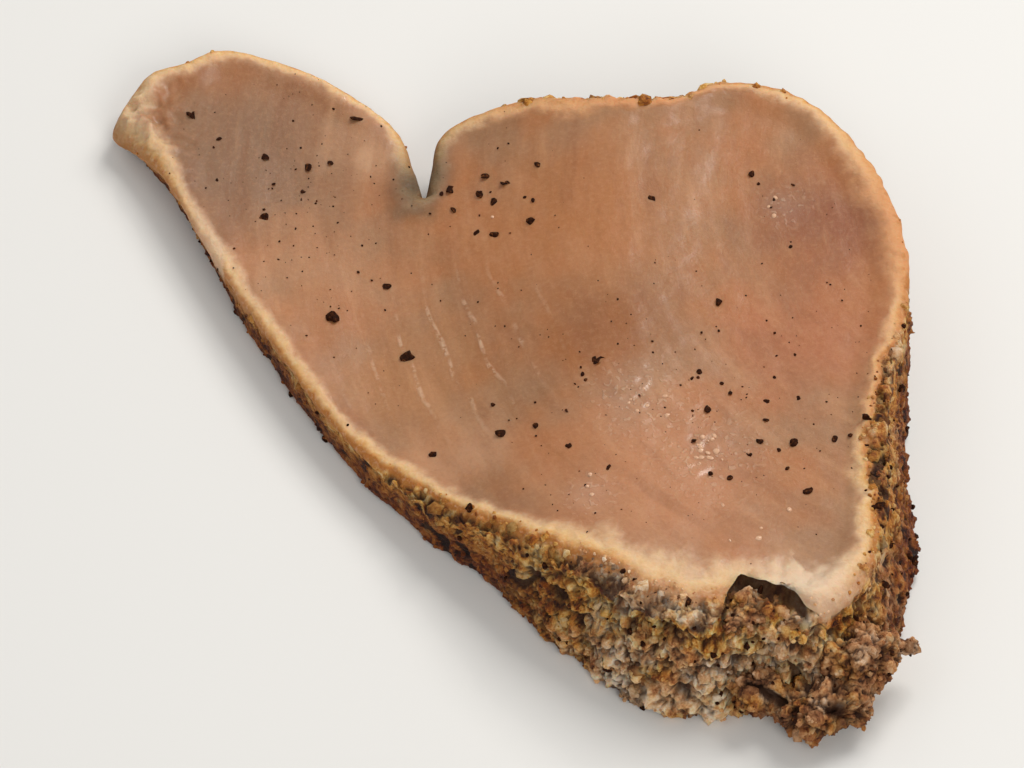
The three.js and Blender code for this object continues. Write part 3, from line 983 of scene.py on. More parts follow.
work = bmesh.new()
for x, y, z, across, deep, tall in LUMPS:
    ball = bmesh.ops.create_icosphere(work, subdivisions=4, radius=1)["verts"]
    bmesh.ops.scale(work, vec=(across, deep, tall), verts=ball)
    bmesh.ops.translate(work, vec=(x + shift[0], y + shift[1], z), verts=ball)
bmesh.ops.scale(work, vec=(MM, MM, MM), verts=work.verts)
balls_mesh = bpy.data.meshes.new("balls")
work.to_mesh(balls_mesh)
work.free()
balls = link(bpy.data.objects.new("balls", balls_mesh))
remesh = balls.modifiers.new("fuse", "REMESH")
remesh.mode = "VOXEL"
remesh.voxel_size = LUMP_VOXEL * MM
lump_mesh = evaluated_mesh(balls)
bpy.data.objects.remove(balls)
print(len(lump_mesh.polygons), "faces on the lumps")

# %% Relief of the lumps
LUMP_CRAGS = ((2.6, 0.7), (1.3, 0.25))
HOLLOW = {"x": 29.2, "y": -37.0, "reach": 1.8, "depth": 1.6}
LOWEST = 0.02  # no crumb reaches into what the slice lies on
LUMP_AMBER = 0.4

lump_points = np.array([point.co for point in lump_mesh.vertices]) / MM
lump_normals = np.array([point.normal for point in lump_mesh.vertices])
push = sum(height * smooth_noise(*lump_points.T, size) for size, height in LUMP_CRAGS)
lump_pits = pits_at(*lump_points.T)
hollow = near(HOLLOW, lump_points[:, 0] - shift[0], lump_points[:, 1] - shift[1])
push -= PITS["depth"] * lump_pits + HOLLOW["depth"] * hollow
# Painted shade in the pits and the hollow, and below also in the crevices.
painted_shade = np.maximum(lump_pits, hollow)
for size, front_depth, _ in PEBBLES:
    height, tone = packed_crumbs(*lump_points.T, size)
    push += front_depth * (height - CRUMB_LEVEL)
    painted_shade = np.maximum(painted_shade, painted_crevice_shade(height, front_depth))
lump_points += lump_normals * push[:, None]
lump_points[:, 2] = np.maximum(lump_points[:, 2], LOWEST)
lump_mesh.vertices.foreach_set("co", (lump_points * MM).astype(np.float32).ravel())
lump_mesh.shade_smooth()
LUMP_VALUES = {
    "tone": tone,
    "painted_shade": painted_shade,
    # darker towards the bottom
    "toast_and_shade": 0.5 + 0.4 * (1 - smoothstep(lump_points[:, 2], 0, 5)),
    "amber": np.full(len(lump_points), LUMP_AMBER),
}
for name, values in LUMP_VALUES.items():
    store(lump_mesh, name, values.astype(np.float32))
print("pushed by", round(push.min(), 2), "to", round(push.max(), 2), "mm")

# %% [markdown]
# ## Colours of toasted crumbs
#
# Slice, lumps and loose crumbs all show the same toasted mixture, so its colours live in
# one node group.  Copied into each material they would soon differ.  A tone picks a colour
# between black pepper and pale nut, and a fine grain shifts it.  Painted shade darkens it in
# the crevices, and long searing, with painted shade down the wall, darkens it too.  The
# group gives out a colour and a height, and each material feeds them to its own shader.

# %% Node group: toasted crumbs
AMBER_CRUMBS = (
    (0.00, colour(46, 20, 4)),
    (0.14, colour(104, 48, 8)),
    (0.34, colour(166, 94, 24)),
    (0.58, colour(220, 152, 62)),
    (0.80, colour(242, 194, 110)),
    (1.00, colour(252, 224, 164)),
)
ROSY_CRUMBS = (
    (0.00, colour(54, 25, 10)),
    (0.14, colour(118, 66, 30)),
    (0.34, colour(184, 126, 80)),
    (0.58, colour(228, 176, 124)),
    (0.80, colour(248, 211, 170)),
    (1.00, colour(255, 234, 208)),
)
BURNT_COLOUR = colour(140, 82, 32)
# crevices and pits are painted darker towards this colour, as shade
PAINTED_SHADE_COLOUR = colour(54, 20, 8)

toasted, given, result = new_group(
    "toasted_crumbs",
    "ShaderNodeTree",
    {"Place": "Vector", "Tone": "Float", "Toast_and_shade": "Float", "Painted_shade": "Float", "Amber": "Float"},
    {"Color": "Color", "Height": "Float"},
)


def swing(tree, value, strength):
    """A value from 0 to 1 turned into a change of that strength to both sides of nothing."""
    return times(tree, maths(tree, "SUBTRACT", value, 0.5), strength)


patches = noise_of(toasted, given["Place"], 0.42, detail=2)
coarse = noise_of(toasted, given["Place"], 1.3)
fine = noise_of(toasted, given["Place"], 5.0, detail=4, roughness=0.7)
tone_now = maths(toasted, "ADD", 0.67, swing(toasted, given["Tone"], 0.45))
for part, strength in ((patches, 1.2), (coarse, 0.9), (fine, 0.9)):
    tone_now = maths(toasted, "ADD", tone_now, swing(toasted, part, strength))
# Searing, with the painted shade stored with it, darkens the tone and, below, the colour.
tone_now = maths(toasted, "SUBTRACT", tone_now, times(toasted, given["Toast_and_shade"], 0.22))
amber_now = noise_of(toasted, given["Place"], 0.30, detail=2)
amber_now = maths(toasted, "ADD", given["Amber"], swing(toasted, amber_now, 1.8))
rosy_shade = ramp(toasted, tone_now, ROSY_CRUMBS)
amber_shade = ramp(toasted, tone_now, AMBER_CRUMBS)
shade = mix(toasted, ease(toasted, amber_now, 0.2, 0.8), rosy_shade, amber_shade)
scorched = mix(toasted, 1.0, shade, BURNT_COLOUR, "MULTIPLY")
shade = mix(toasted, times(toasted, given["Toast_and_shade"], 0.75), shade, scorched)
# Painted shade: crevices and pits are darkened by their stored value.
painted_shade_share = ease(toasted, given["Painted_shade"], 0.35, 0.95, 0.0, 0.92)
toasted.links.new(mix(toasted, painted_shade_share, shade, PAINTED_SHADE_COLOUR, "MULTIPLY"), result["Color"])
toasted.links.new(fine, result["Height"])


def crumbs_on(tree, place):
    """The colour and height of the crumbs, from the values stored on the mesh."""
    names = ("tone", "toast_and_shade", "painted_shade", "amber")
    stored = {name.capitalize(): attribute(tree, name) for name in names}
    return place_group(tree, toasted, {"Place": place, **stored})


print(len(toasted.nodes), "nodes in the group")

# %% [markdown]
# ## Patterns in the flesh
#
# Two effects come up again and again in the flesh, so each is a node group.  One reads a
# pattern along the sheets of muscle.  A Wave texture also draws rings, but noise at the
# radius and at the length along the arc gives streaks that start and end.  The other gives
# a soft round spot, for the places where the flesh is greyer, pinker or paler.

# %% Node group: along the muscle
along_muscle, given, result = new_group(
    "along_muscle",
    "ShaderNodeTree",
    {"Place": "Vector", "Across": "Float", "Lengthwise": "Float"},
    {"Place": "Vector", "Radius": "Float"},
)
arc_centre = (ARCS["x"] + shift[0], ARCS["y"] + shift[1], 0)
centred = vectors(along_muscle, "SUBTRACT", given["Place"], arc_centre)
parts = add(along_muscle, "ShaderNodeSeparateXYZ", {0: centred}).outputs
square_x = maths(along_muscle, "POWER", parts[0], 2.0)
square_y = maths(along_muscle, "POWER", parts[1], 2.0)
radius_now = maths(along_muscle, "SQRT", maths(along_muscle, "ADD", square_x, square_y))
turned = maths(along_muscle, "ARCTAN2", parts[1], times(along_muscle, parts[0], -1.0))
arc_now = times(along_muscle, turned, ARCS["radius"])
drawn_out = add(along_muscle, "ShaderNodeCombineXYZ", {
    0: maths(along_muscle, "DIVIDE", radius_now, given["Across"]),
    1: maths(along_muscle, "DIVIDE", arc_now, given["Lengthwise"]),
    2: maths(along_muscle, "DIVIDE", parts[2], given["Across"]),
}).outputs[0]
along_muscle.links.new(drawn_out, result["Place"])
along_muscle.links.new(radius_now, result["Radius"])
print("the arcs turn about", arc_centre)

# %% Node group: soft spot
soft_spot, given, result = new_group(
    "soft_spot",
    "ShaderNodeTree",
    {"Place": "Vector", "Middle": "Vector", "Reach": "Float"},
    {"Mask": "Float"},
)
ends = {0: vectors(soft_spot, "MULTIPLY", given["Place"], (1, 1, 0)), 1: given["Middle"]}
apart = add(soft_spot, "ShaderNodeVectorMath", ends, operation="DISTANCE").outputs["Value"]
away = maths(soft_spot, "DIVIDE", apart, given["Reach"])
soft_spot.links.new(ease(soft_spot, away, 0.1, 1.3, 1.0, 0.0), result["Mask"])

# %% [markdown]
# ## Finish of the slice
#
# Flesh, cooked band and crust run into each other.  Three materials would meet at hard
# borders of faces, so one material covers them all and the stored distance drives the
# change: raw flesh far inside, an opaque pinkish zone, cream, then golden at the edge, and
# toasted crumbs on the wall.

# %% Flesh colours
RAW_GREY = colour(156, 114, 80)
RAW_WARM = colour(170, 110, 66)
TINTS = (
    # x, y, reach, colour, strength: soft patches of the flesh
    (-23.0, 26.0, 13.0, colour(134, 100, 74), 0.9),
    (-16.5, 14.0, 7.0, colour(182, 130, 92), 0.6),
    (-13.5, 3.0, 4.5, colour(158, 118, 88), 0.7),
    (-3.0, -9.5, 5.5, colour(186, 138, 102), 0.8),
    (-11.5, 26.5, 5.0, colour(196, 154, 118), 0.7),
    (-10.0, 10.0, 4.0, colour(186, 134, 96), 0.4),
    (-7.6, 18.5, 2.2, colour(126, 98, 70), 0.7),
    (8.0, 15.0, 11.0, colour(172, 112, 66), 0.9),
    (9.0, 2.0, 7.0, colour(144, 86, 40), 0.8),
    (29.0, 13.0, 8.0, colour(140, 82, 52), 0.9),
    (27.0, 0.0, 9.0, colour(174, 106, 68), 0.8),
    (13.0, -16.0, 12.0, colour(182, 124, 84), 0.9),
    (-8.0, 0.0, 8.0, colour(172, 118, 74), 0.8),
)

flesh_material, tree, shader = new_material("seared_tuna")
place = millimetres(tree)
flesh = mix(tree, ease(tree, noise_of(tree, place, 0.11, detail=2), 0.35, 0.65), RAW_GREY, RAW_WARM)
uneven = add(tree, "ShaderNodeTexNoise", {"Vector": place, "Scale": 0.16}).outputs["Color"]
uneven = vectors(tree, "SUBTRACT", uneven, (0.5, 0.5, 0.5))


def shifted(tree, place, vector, strength):
    """The place, moved about by up to half the strength in mm."""
    return vectors(tree, "ADD", place, scaled(tree, vector, strength))


def spot_at(tree, place, x, y, reach):
    middle = (x + shift[0], y + shift[1], 0)
    inputs = {"Place": place, "Middle": middle, "Reach": reach}
    return place_group(tree, soft_spot, inputs)["Mask"]


wandering = shifted(tree, place, uneven, 9.0)
for x, y, reach, tint, strength in TINTS:
    spot = spot_at(tree, wandering, x, y, reach)
    flesh = mix(tree, times(tree, spot, strength), flesh, tint)
print(len(TINTS), "soft patches in the flesh")

# %% Muscle sheets and grain
MILKY = colour(204, 154, 112)
CLEAR = colour(128, 74, 38)
SHEET = colour(226, 194, 164)
SHEETS_SEEN = {"x": -4.5, "y": 2.0, "reach": 10.0}


def muscle_noise(across, lengthwise):
    inputs = {"Place": place, "Across": across, "Lengthwise": lengthwise}
    drawn_out = place_group(tree, along_muscle, inputs)["Place"]
    return noise_of(tree, drawn_out, 1.0, detail=2.0, distortion=0.3)


# Broad streaks are milky or clear, and finer ones run through them.
broad = maths(tree, "ADD", muscle_noise(2.6, 14.0), swing(tree, muscle_noise(0.9, 5.0), 0.45))
flesh = mix(tree, ease(tree, broad, 0.50, 0.80, 0.0, 0.28), flesh, MILKY)
flesh = mix(tree, ease(tree, broad, 0.50, 0.22, 0.0, 0.30), flesh, CLEAR)

# A sheet between two muscles shows as a thin pale line, here and there and broken up.
swayed = shifted(tree, place, uneven, 2.0)
sheets = place_group(tree, along_muscle, {"Place": swayed, "Across": 1.0, "Lengthwise": 1.0})
sheet_gap = maths(tree, "PINGPONG", sheets["Radius"], ARCS["spacing"] / 2)
sheet_seen = spot_at(tree, place, **SHEETS_SEEN)
sheet_seen = times(tree, sheet_seen, ease(tree, noise_of(tree, place, 0.5), 0.40, 0.60))
sheet_line = times(tree, ease(tree, sheet_gap, 0.28, 0.04), sheet_seen)
sheet_line = times(tree, sheet_line, ease(tree, noise_of(tree, place, 1.4), 0.35, 0.50))
flesh = mix(tree, times(tree, sheet_line, 0.5), flesh, SHEET)

# The ends of the fibres make a fine mottled grain.
grain = noise_of(tree, place, 2.2, detail=4, roughness=0.68)
fine_grain = noise_of(tree, place, 7.0, detail=3, roughness=0.6)
flesh = mix(tree, ease(tree, grain, 0.45, 0.72, 0.0, 0.16), flesh, MILKY)
flesh = mix(tree, ease(tree, grain, 0.50, 0.28, 0.0, 0.14), flesh, CLEAR)
flesh = mix(tree, ease(tree, fine_grain, 0.60, 0.76, 0.0, 0.12), flesh, SHEET)

# Where juice stands, it gathers in fine drops, painted paler than the flesh as highlights.
wet_value = attribute(tree, "wetness")
drops_and_glints = ease(tree, noise_of(tree, place, 2.4, detail=0), 0.60, 0.72)
drops_and_glints = times(tree, drops_and_glints, wet_value)
flesh = mix(tree, times(tree, drops_and_glints, 0.25), flesh, SHEET)
print(len(tree.nodes), "nodes so far")

# %% [markdown]
# ## Colours of the cooked band
#
# Heat turns the flesh from the outside in.  One colour ramp over the stored distance gives
# the whole change, and noise is added to the distance first, so that the border of each
# colour wanders.  Patches of it are paler, tanned or scorched, as the stored values say.

# %% Cooked band and crust
COOKED = (
    (0.00, colour(178, 112, 46)),
    (0.12, colour(206, 152, 86)),
    (0.30, colour(222, 182, 128)),
    (0.60, colour(220, 180, 136)),
    (1.00, colour(192, 143, 107)),
)
PALE = colour(220, 194, 167)
TANNED = colour(204, 144, 96)
# grey of bare flesh in the notch, also the painted shade of the torn tip
BARE_AND_SHADE = colour(94, 74, 52)
SCORCH = colour(168, 104, 42)

sear_value = attribute(tree, "sear")
bare_and_tip_shade = attribute(tree, "bare")
pale_value = attribute(tree, "pale")
flecks = noise_of(tree, place, 2.6, detail=3, roughness=0.6)
clumps = noise_of(tree, place, 1.0, detail=2, roughness=0.5)
sear_here = maths(tree, "ADD", sear_value, swing(tree, clumps, 0.75))
band = ramp(tree, maths(tree, "DIVIDE", sear_here, 1.4), COOKED)
band = mix(tree, ease(tree, flecks, 0.45, 0.75, 0.0, 0.35), band, PALE)
band = mix(tree, ease(tree, flecks, 0.50, 0.30, 0.0, 0.25), band, TANNED)
band = mix(tree, ease(tree, pale_value, 0.0, 1.0), band, PALE)
band = mix(tree, ease(tree, pale_value, 0.0, -1.0), band, TANNED)
scorched = times(tree, ease(tree, clumps, 0.50, 0.66), ease(tree, sear_here, 0.7, 0.0))
scorched = times(tree, scorched, ease(tree, pale_value, 0.7, 0.2))
band = mix(tree, times(tree, scorched, 0.75), band, SCORCH)
skin = mix(tree, ease(tree, sear_here, 0.45, 1.65), band, flesh)
# The notch is greyer bare flesh, and painted shade darkens and greys the torn tip.
bare_and_tip_shade_here = times(tree, bare_and_tip_shade, ease(tree, sear_value, 2.6, 0.6))
skin = mix(tree, bare_and_tip_shade_here, skin, BARE_AND_SHADE)

crumbs_here = crumbs_on(tree, place)
crust_share = ease(tree, sear_here, -0.2, -0.9)
crust_share = times(tree, crust_share, ease(tree, bare_and_tip_shade, 0.7, 0.35))
paleness = maths(tree, "ADD", pale_value, times(tree, sear_value, 0.3))
crust_share = times(tree, crust_share, ease(tree, paleness, 1.0, 0.5))
tree.links.new(mix(tree, crust_share, skin, crumbs_here["Color"]), shader.inputs["Base Color"])
print(len(tree.nodes), "nodes with the band and the crust")

# %% [markdown]
# ## Gloss of the slice
#
# Raw flesh is moist, and cooked flesh and crust are dry.  A separate film of juice over the
# face would need a mesh of its own, so a thin coat in the shader gives the gloss, weaker
# towards the band.  Light sinks a little way into the flesh, which the shader's subsurface
# scattering shows.  Grain, drops, streaks and crumbs too small for the mesh are bump.

# %% Gloss and fine bump
wet = muscle_noise(1.8, 5.0)
wet_roughness = ease(tree, wet, 0.35, 0.65, 0.36, 0.50)
dry = maths(tree, "MAXIMUM", crust_share, ease(tree, sear_here, 1.1, 0.4))
roughness_now = add(tree, "ShaderNodeMix", {0: dry, 2: wet_roughness, 3: 0.7}).outputs[0]
tree.links.new(roughness_now, shader.inputs["Roughness"])
wetter = maths(tree, "MAXIMUM", ease(tree, wet, 0.65, 0.40, 0.04, 0.16), wet_value)
film = times(tree, ease(tree, dry, 0.7, 0.0), wetter)
tree.links.new(film, shader.inputs["Coat Weight"])
shader.inputs["Coat Roughness"].default_value = 0.12
shader.inputs["Subsurface Weight"].default_value = 0.45
shader.inputs["Subsurface Radius"].default_value = (1.0, 0.42, 0.25)
shader.inputs["Subsurface Scale"].default_value = 1.8 * MM
shader.inputs["IOR"].default_value = 1.38

normal = bump(tree, grain, 0.04)
normal = bump(tree, drops_and_glints, 0.06, normal=normal)
normal = bump(tree, fine_grain, 0.010, normal=normal)
normal = bump(tree, muscle_noise(0.6, 3.0), 0.025, normal=normal)
normal = bump(tree, sheet_line, 0.05, normal=normal)
in_band = times(tree, ease(tree, sear_here, 1.4, 0.6), ease(tree, crust_share, 0.6, 0.0))
fluff = maths(tree, "ADD", times(tree, clumps, 0.6), times(tree, flecks, 0.4))
normal = bump(tree, times(tree, fluff, in_band), 0.25, normal=normal)
normal = bump(tree, times(tree, crumbs_here["Height"], crust_share), 0.25, normal=normal)
tree.links.new(normal, shader.inputs["Normal"])
print(len(tree.nodes), "nodes in all")

# %% [markdown]
# ## Finish of crust, pepper and juice
#
# Loose crumbs and lumps wear the toasted colours, dull and dry.  Cracked pepper is nearly
# black with a few brown faces.  Juice could be clear as glass, but here a bead is a pale,
# smooth and only slightly clear drop: its pale colour is a painted highlight, and its gloss
# is real.

# %% Finish of crumbs and lumps
crust_material, tree, shader = new_material("toasted_crust")
place = millimetres(tree)
crumbs_here = crumbs_on(tree, place)
tree.links.new(crumbs_here["Color"], shader.inputs["Base Color"])
tree.links.new(ease(tree, crumbs_here["Height"], 0.3, 0.7, 0.55, 0.8), shader.inputs["Roughness"])
shader.inputs["Specular IOR Level"].default_value = 0.3
normal = bump(tree, crumbs_here["Height"], 0.16)
normal = bump(tree, noise_of(tree, place, 14.0, detail=2), 0.02, normal=normal)
tree.links.new(normal, shader.inputs["Normal"])

# %% Finish of pepper
PEPPER_TONES = (
    (0.0, colour(30, 13, 6)),
    (0.50, colour(52, 25, 12)),
    (0.78, colour(94, 52, 24)),
    (1.0, colour(146, 98, 56)),
)
pepper_material, tree, shader = new_material("cracked_pepper")
place = millimetres(tree)
cracks = noise_of(tree, place, 3.2, detail=4, roughness=0.7)
tree.links.new(ramp(tree, ease(tree, cracks, 0.3, 0.8), PEPPER_TONES), shader.inputs["Base Color"])
tree.links.new(ease(tree, cracks, 0.3, 0.7, 0.6, 0.85), shader.inputs["Roughness"])
tree.links.new(bump(tree, noise_of(tree, place, 6.0, detail=3), 0.06), shader.inputs["Normal"])
shader.inputs["Specular IOR Level"].default_value = 0.06

# %% Finish of juice
# pale colours of the beads: a painted highlight
JUICE_HIGHLIGHT_TONES = (colour(214, 162, 124), colour(238, 196, 162))

juice_material, tree, shader = new_material("clear_juice")
tint = mix(tree, noise_of(tree, millimetres(tree), 1.5), *JUICE_HIGHLIGHT_TONES)
tree.links.new(tint, shader.inputs["Base Color"])
shader.inputs["Roughness"].default_value = 0.05
shader.inputs["IOR"].default_value = 1.38
shader.inputs["Transmission Weight"].default_value = 0.2

# %% [markdown]
# ## Scattering crumbs
#
# The crust holds thousands of loose crumbs.  A particle system could scatter them, but it
# is hard to bake down to one mesh.  A Geometry Nodes tree drops points on the wall, sets a
# small ball on each at its own size and turn, makes them real, and then pushes their
# corners about by noise, so that no two are alike.  The crumbs keep the values stored on
# the wall, so they are darker where the crust is, from searing and from painted shade.

# %% Helpers for Geometry Nodes
RANDOM_SEED = 8  # number of the seed's socket


def random_number(tree, low, high, seed):
    inputs = {2: low, 3: high, RANDOM_SEED: seed}
    return add(tree, "FunctionNodeRandomValue", inputs, data_type="FLOAT").outputs[1]


def random_vector(tree, low, high, seed):
    inputs = {0: (low,) * 3, 1: (high,) * 3, RANDOM_SEED: seed}
    return add(tree, "FunctionNodeRandomValue", inputs, data_type="FLOAT_VECTOR").outputs[0]


def seed_for(tree, given, number):
    """A seed of its own for each thing that is drawn at random."""
    return maths(tree, "ADD", given["Seed"], number)


def stored_value(tree, name):
    return add(tree, "GeometryNodeInputNamedAttribute", {"Name": name}).outputs[0]


def position(tree):
    return add(tree, "GeometryNodeInputPosition").outputs[0]


def moved(tree, geometry, **where):
    """Set Position, with an Offset or a new Position."""
    inputs = {"Geometry": geometry, **where}
    return add(tree, "GeometryNodeSetPosition", inputs).outputs[0]


# %% Grow a piece on each point
STRETCH = (0.72, 1.2)  # least and most along each axis


def balls_on(tree, points, rotation, size, given):
    """Sets a stretched ball on each point, with a tone and its size, and makes them real."""
    ball = add(tree, "GeometryNodeMeshIcoSphere", {"Radius": 1.0, "Subdivisions": given["Detail"]})
    stretch = random_vector(tree, *STRETCH, seed_for(tree, given, 2))
    flatten = add(tree, "ShaderNodeCombineXYZ", {0: 1.0, 1: 1.0, 2: given["Flatness"]}).outputs[0]
    instances = add(tree, "GeometryNodeInstanceOnPoints", {
        "Points": points,
        "Instance": ball.outputs["Mesh"],
        "Rotation": rotation,
        "Scale": scaled(tree, vectors(tree, "MULTIPLY", stretch, flatten), size),
    }).outputs[0]
    tone = random_number(tree, given["Darkest"], given["Palest"], seed_for(tree, given, 3))
    for name, value in (("tone", tone), ("size", size)):
        inputs = {"Geometry": instances, "Name": name, "Value": value}
        keeper = add(tree, "GeometryNodeStoreNamedAttribute", inputs, domain="INSTANCE")
        instances = keeper.outputs[0]
    return add(tree, "GeometryNodeRealizeInstances", {"Geometry": instances}).outputs[0]


def roughened(tree, pieces, given):
    """Pushes the corners of each piece about by noise, in keeping with its size."""
    inputs = {
        "Vector": scaled(tree, position(tree), given["Roughness per m"]),
        "Scale": 1.0,
        "Detail": 2.0,
    }
    rough = add(tree, "ShaderNodeTexNoise", inputs).outputs["Color"]
    shove = vectors(tree, "SUBTRACT", rough, (0.5, 0.5, 0.5))
    reach = times(tree, stored_value(tree, "size"), given["Unevenness"])
    return moved(tree, pieces, Offset=scaled(tree, shove, reach))


def kept_above(tree, pieces):
    """Lifts every corner that would reach into what the slice lies on."""
    corner = add(tree, "ShaderNodeSeparateXYZ", {0: position(tree)}).outputs
    height = maths(tree, "MAXIMUM", corner[2], LOWEST * MM)
    above = add(tree, "ShaderNodeCombineXYZ", {0: corner[0], 1: corner[1], 2: height}).outputs[0]
    return moved(tree, pieces, Position=above)


def grow_pieces(tree, points, rotation, size, given):
    """A rough ball on each point, real and with its material."""
    pieces = balls_on(tree, points, rotation, size, given)
    pieces = kept_above(tree, roughened(tree, pieces, given))
    inputs = {"Geometry": pieces, "Shade Smooth": given["Smooth"]}
    pieces = add(tree, "GeometryNodeSetShadeSmooth", inputs).outputs[0]
    inputs = {"Geometry": pieces, "Material": given["Material"]}
    return add(tree, "GeometryNodeSetMaterial", inputs).outputs[0]


# %% Geometry Nodes: scatter crumbs on a surface
PIECE_INPUTS = {
    "Geometry": "Geometry",
    "Detail": "Int",
    "Flatness": "Float",
    "Unevenness": "Float",
    "Roughness per m": "Float",
    "Darkest": "Float",
    "Palest": "Float",
    "Smooth": "Bool",
    "Seed": "Int",
    "Material": "Material",
}
SCATTER_INPUTS = {
    "Per square m": "Float",
    "Where": "String",
    "Smallest": "Float",
    "Largest": "Float",
    "Sunk": "Float",
}
MANY_SMALL = 2.2  # the higher, the fewer large crumbs there are

scatter, given, result = new_group(
    "scatter_on_surface",
    "GeometryNodeTree",
    {**PIECE_INPUTS, **SCATTER_INPUTS},
    {"Geometry": "Geometry"},
)
share = add(scatter, "GeometryNodeInputNamedAttribute", {"Name": given["Where"]}).outputs[0]
spread = add(scatter, "GeometryNodeDistributePointsOnFaces", {
    "Mesh": given["Geometry"],
    "Density": times(scatter, share, given["Per square m"]),
    "Seed": given["Seed"],
})
chance = random_number(scatter, 0.0, 1.0, seed_for(scatter, given, 1))
size = add(scatter, "ShaderNodeMapRange", {
    "Value": maths(scatter, "POWER", chance, MANY_SMALL),
    "To Min": given["Smallest"],
    "To Max": given["Largest"],
}).outputs[0]
depth = times(scatter, size, times(scatter, given["Sunk"], -1.0))
sink = scaled(scatter, spread.outputs["Normal"], depth)
sunk = moved(scatter, spread.outputs["Points"], Offset=sink)
turn = random_vector(scatter, 0.0, 2 * math.pi, seed_for(scatter, given, 4))
scatter.links.new(grow_pieces(scatter, sunk, turn, size, given), result["Geometry"])
print(len(scatter.nodes), "nodes scatter crumbs")

# %% Make a piece from a tree


def make_piece(name, ground_mesh, tree, values):
    """Runs a tree on a mesh and keeps what it makes as a plain mesh object."""
    maker = link(bpy.data.objects.new(name + "_maker", ground_mesh))
    modifier = maker.modifiers.new("maker", "NODES")
    modifier.node_group = tree
    inputs = [item for item in tree.interface.items_tree if item.in_out == "INPUT"]
    sockets = {item.name: item.identifier for item in inputs}
    for key, value in values.items():
        modifier[sockets[key]] = value
    made = evaluated_mesh(maker)
    bpy.data.objects.remove(maker)
    made.name = name
    print(name, "has", sum(len(p.vertices) - 2 for p in made.polygons), "triangles")
    return link(bpy.data.objects.new(name, made))


# %% [markdown]
# ## Where crumbs lie
#
# Loose crumbs cling where the crust is thick: in front, on the right, along the right half
# of the back rim, and where crust creeps over the rim.  They keep clear of the notch and of
# the pits, which are darkened with painted shade.  They could be set by hand, but a share
# from 0 to 1 on each point tells the tree how densely to scatter them: one for nuggets and
# one for grit.

# %% Shares of crumbs
MIDDLE_OF_BACK = (-3, 6)  # the crust thickens there, from left to right
BACK_END = (4, 9)  # the rim's own crumbs end there on their way to the back

thick_front = np.maximum(front, right)
thick_back = back * smoothstep(column_x, *MIDDLE_OF_BACK)
not_bare = 1 - smoothstep(bare, 0.2, 0.6)
crumby = np.maximum(0.25 + 0.75 * thick_front, 0.8 * thick_back) * not_bare
patches = 0.5 + 0.9 * smooth_noise(*columns.T, 2.0, 3.0)
patches = 0.55 + 0.45 * np.clip(patches, 0, 1)
near_crust = 1 - smoothstep(face_inside - face_crept, 0.1, 0.7)
under_crust = smoothstep(face_crept, 0.1, 0.8)
rim_loose = 0.2 * crumby * (1 - smoothstep(column_y, *BACK_END)) + 1.0 * thick_back
rim_loose = rim_loose[face_column] + under_crust * (1 - face_painted_shade)
crusty = 0.35 + 0.65 * thick_front
covered = not_bare * crusty
sets_in = 0.1 + 0.5 * (1 - crusty)  # how far down the wall the grit is whole
wall_loose, wall_gritty = [], []
for down, pit in zip(downs, pits):
    wall_loose.append(crumby * patches * smoothstep(down, 0.0, 0.12) * (1 - pit))
    wall_gritty.append(covered * smoothstep(down, 0.0, sets_in) * (1 - pit))
rim_gritty = (0.1 + 0.9 * under_crust) * covered[face_column]
store(slice_mesh, "loose", per_point(rim_loose * near_crust, wall_loose, nothing_below))
store(slice_mesh, "gritty", per_point(rim_gritty * near_crust, wall_gritty, nothing_below))
lump_share = (1 - np.maximum(lump_pits, hollow)).astype(np.float32)
store(lump_mesh, "loose", lump_share)
store(lump_mesh, "gritty", lump_share)

ground = bmesh.new()
ground.from_mesh(slice_mesh)
ground.from_mesh(lump_mesh)
ground_mesh = bpy.data.meshes.new("ground")
ground.to_mesh(ground_mesh)
ground.free()
print(len(ground_mesh.polygons), "faces to scatter crumbs on")

# %% Nuggets and grit
SQUARE_MM = MM * MM

nuggets = make_piece("crust_nuggets", ground_mesh, scatter, {
    "Where": "loose",
    "Per square m": 0.42 / SQUARE_MM,
    "Smallest": 0.18 * MM,
    "Largest": 0.80 * MM,
    "Detail": 2,
    "Flatness": 0.85,
    "Unevenness": 2.0,
    "Roughness per m": 2.2 / MM,
    "Darkest": 0.1,
    "Palest": 1.0,
    "Smooth": True,
    "Sunk": 0.5,
    "Seed": 21,
    "Material": crust_material,
})
grit = make_piece("crust_grit", ground_mesh, scatter, {
    "Where": "gritty",
    "Per square m": 2.2 / SQUARE_MM,
    "Smallest": 0.09 * MM,
    "Largest": 0.28 * MM,
    "Detail": 1,
    "Flatness": 0.9,
    "Unevenness": 1.0,
    "Roughness per m": 3.0 / MM,
    "Darkest": 0.0,
    "Palest": 1.0,
    "Smooth": False,
    "Sunk": 0.0,
    "Seed": 22,
    "Material": crust_material,
})

# %% [markdown]
# ## Pepper and juice
#
# Cracked pepper lies where it fell: bold flakes one by one, smaller ones in loose
# clusters, and dust.  Painted specks would look flat from the side.  So their places are
# points on the face with a size of their own, and a second tree sets a flattened, angular
# piece on each.  Beads of juice are made by the same tree, smooth and clear.

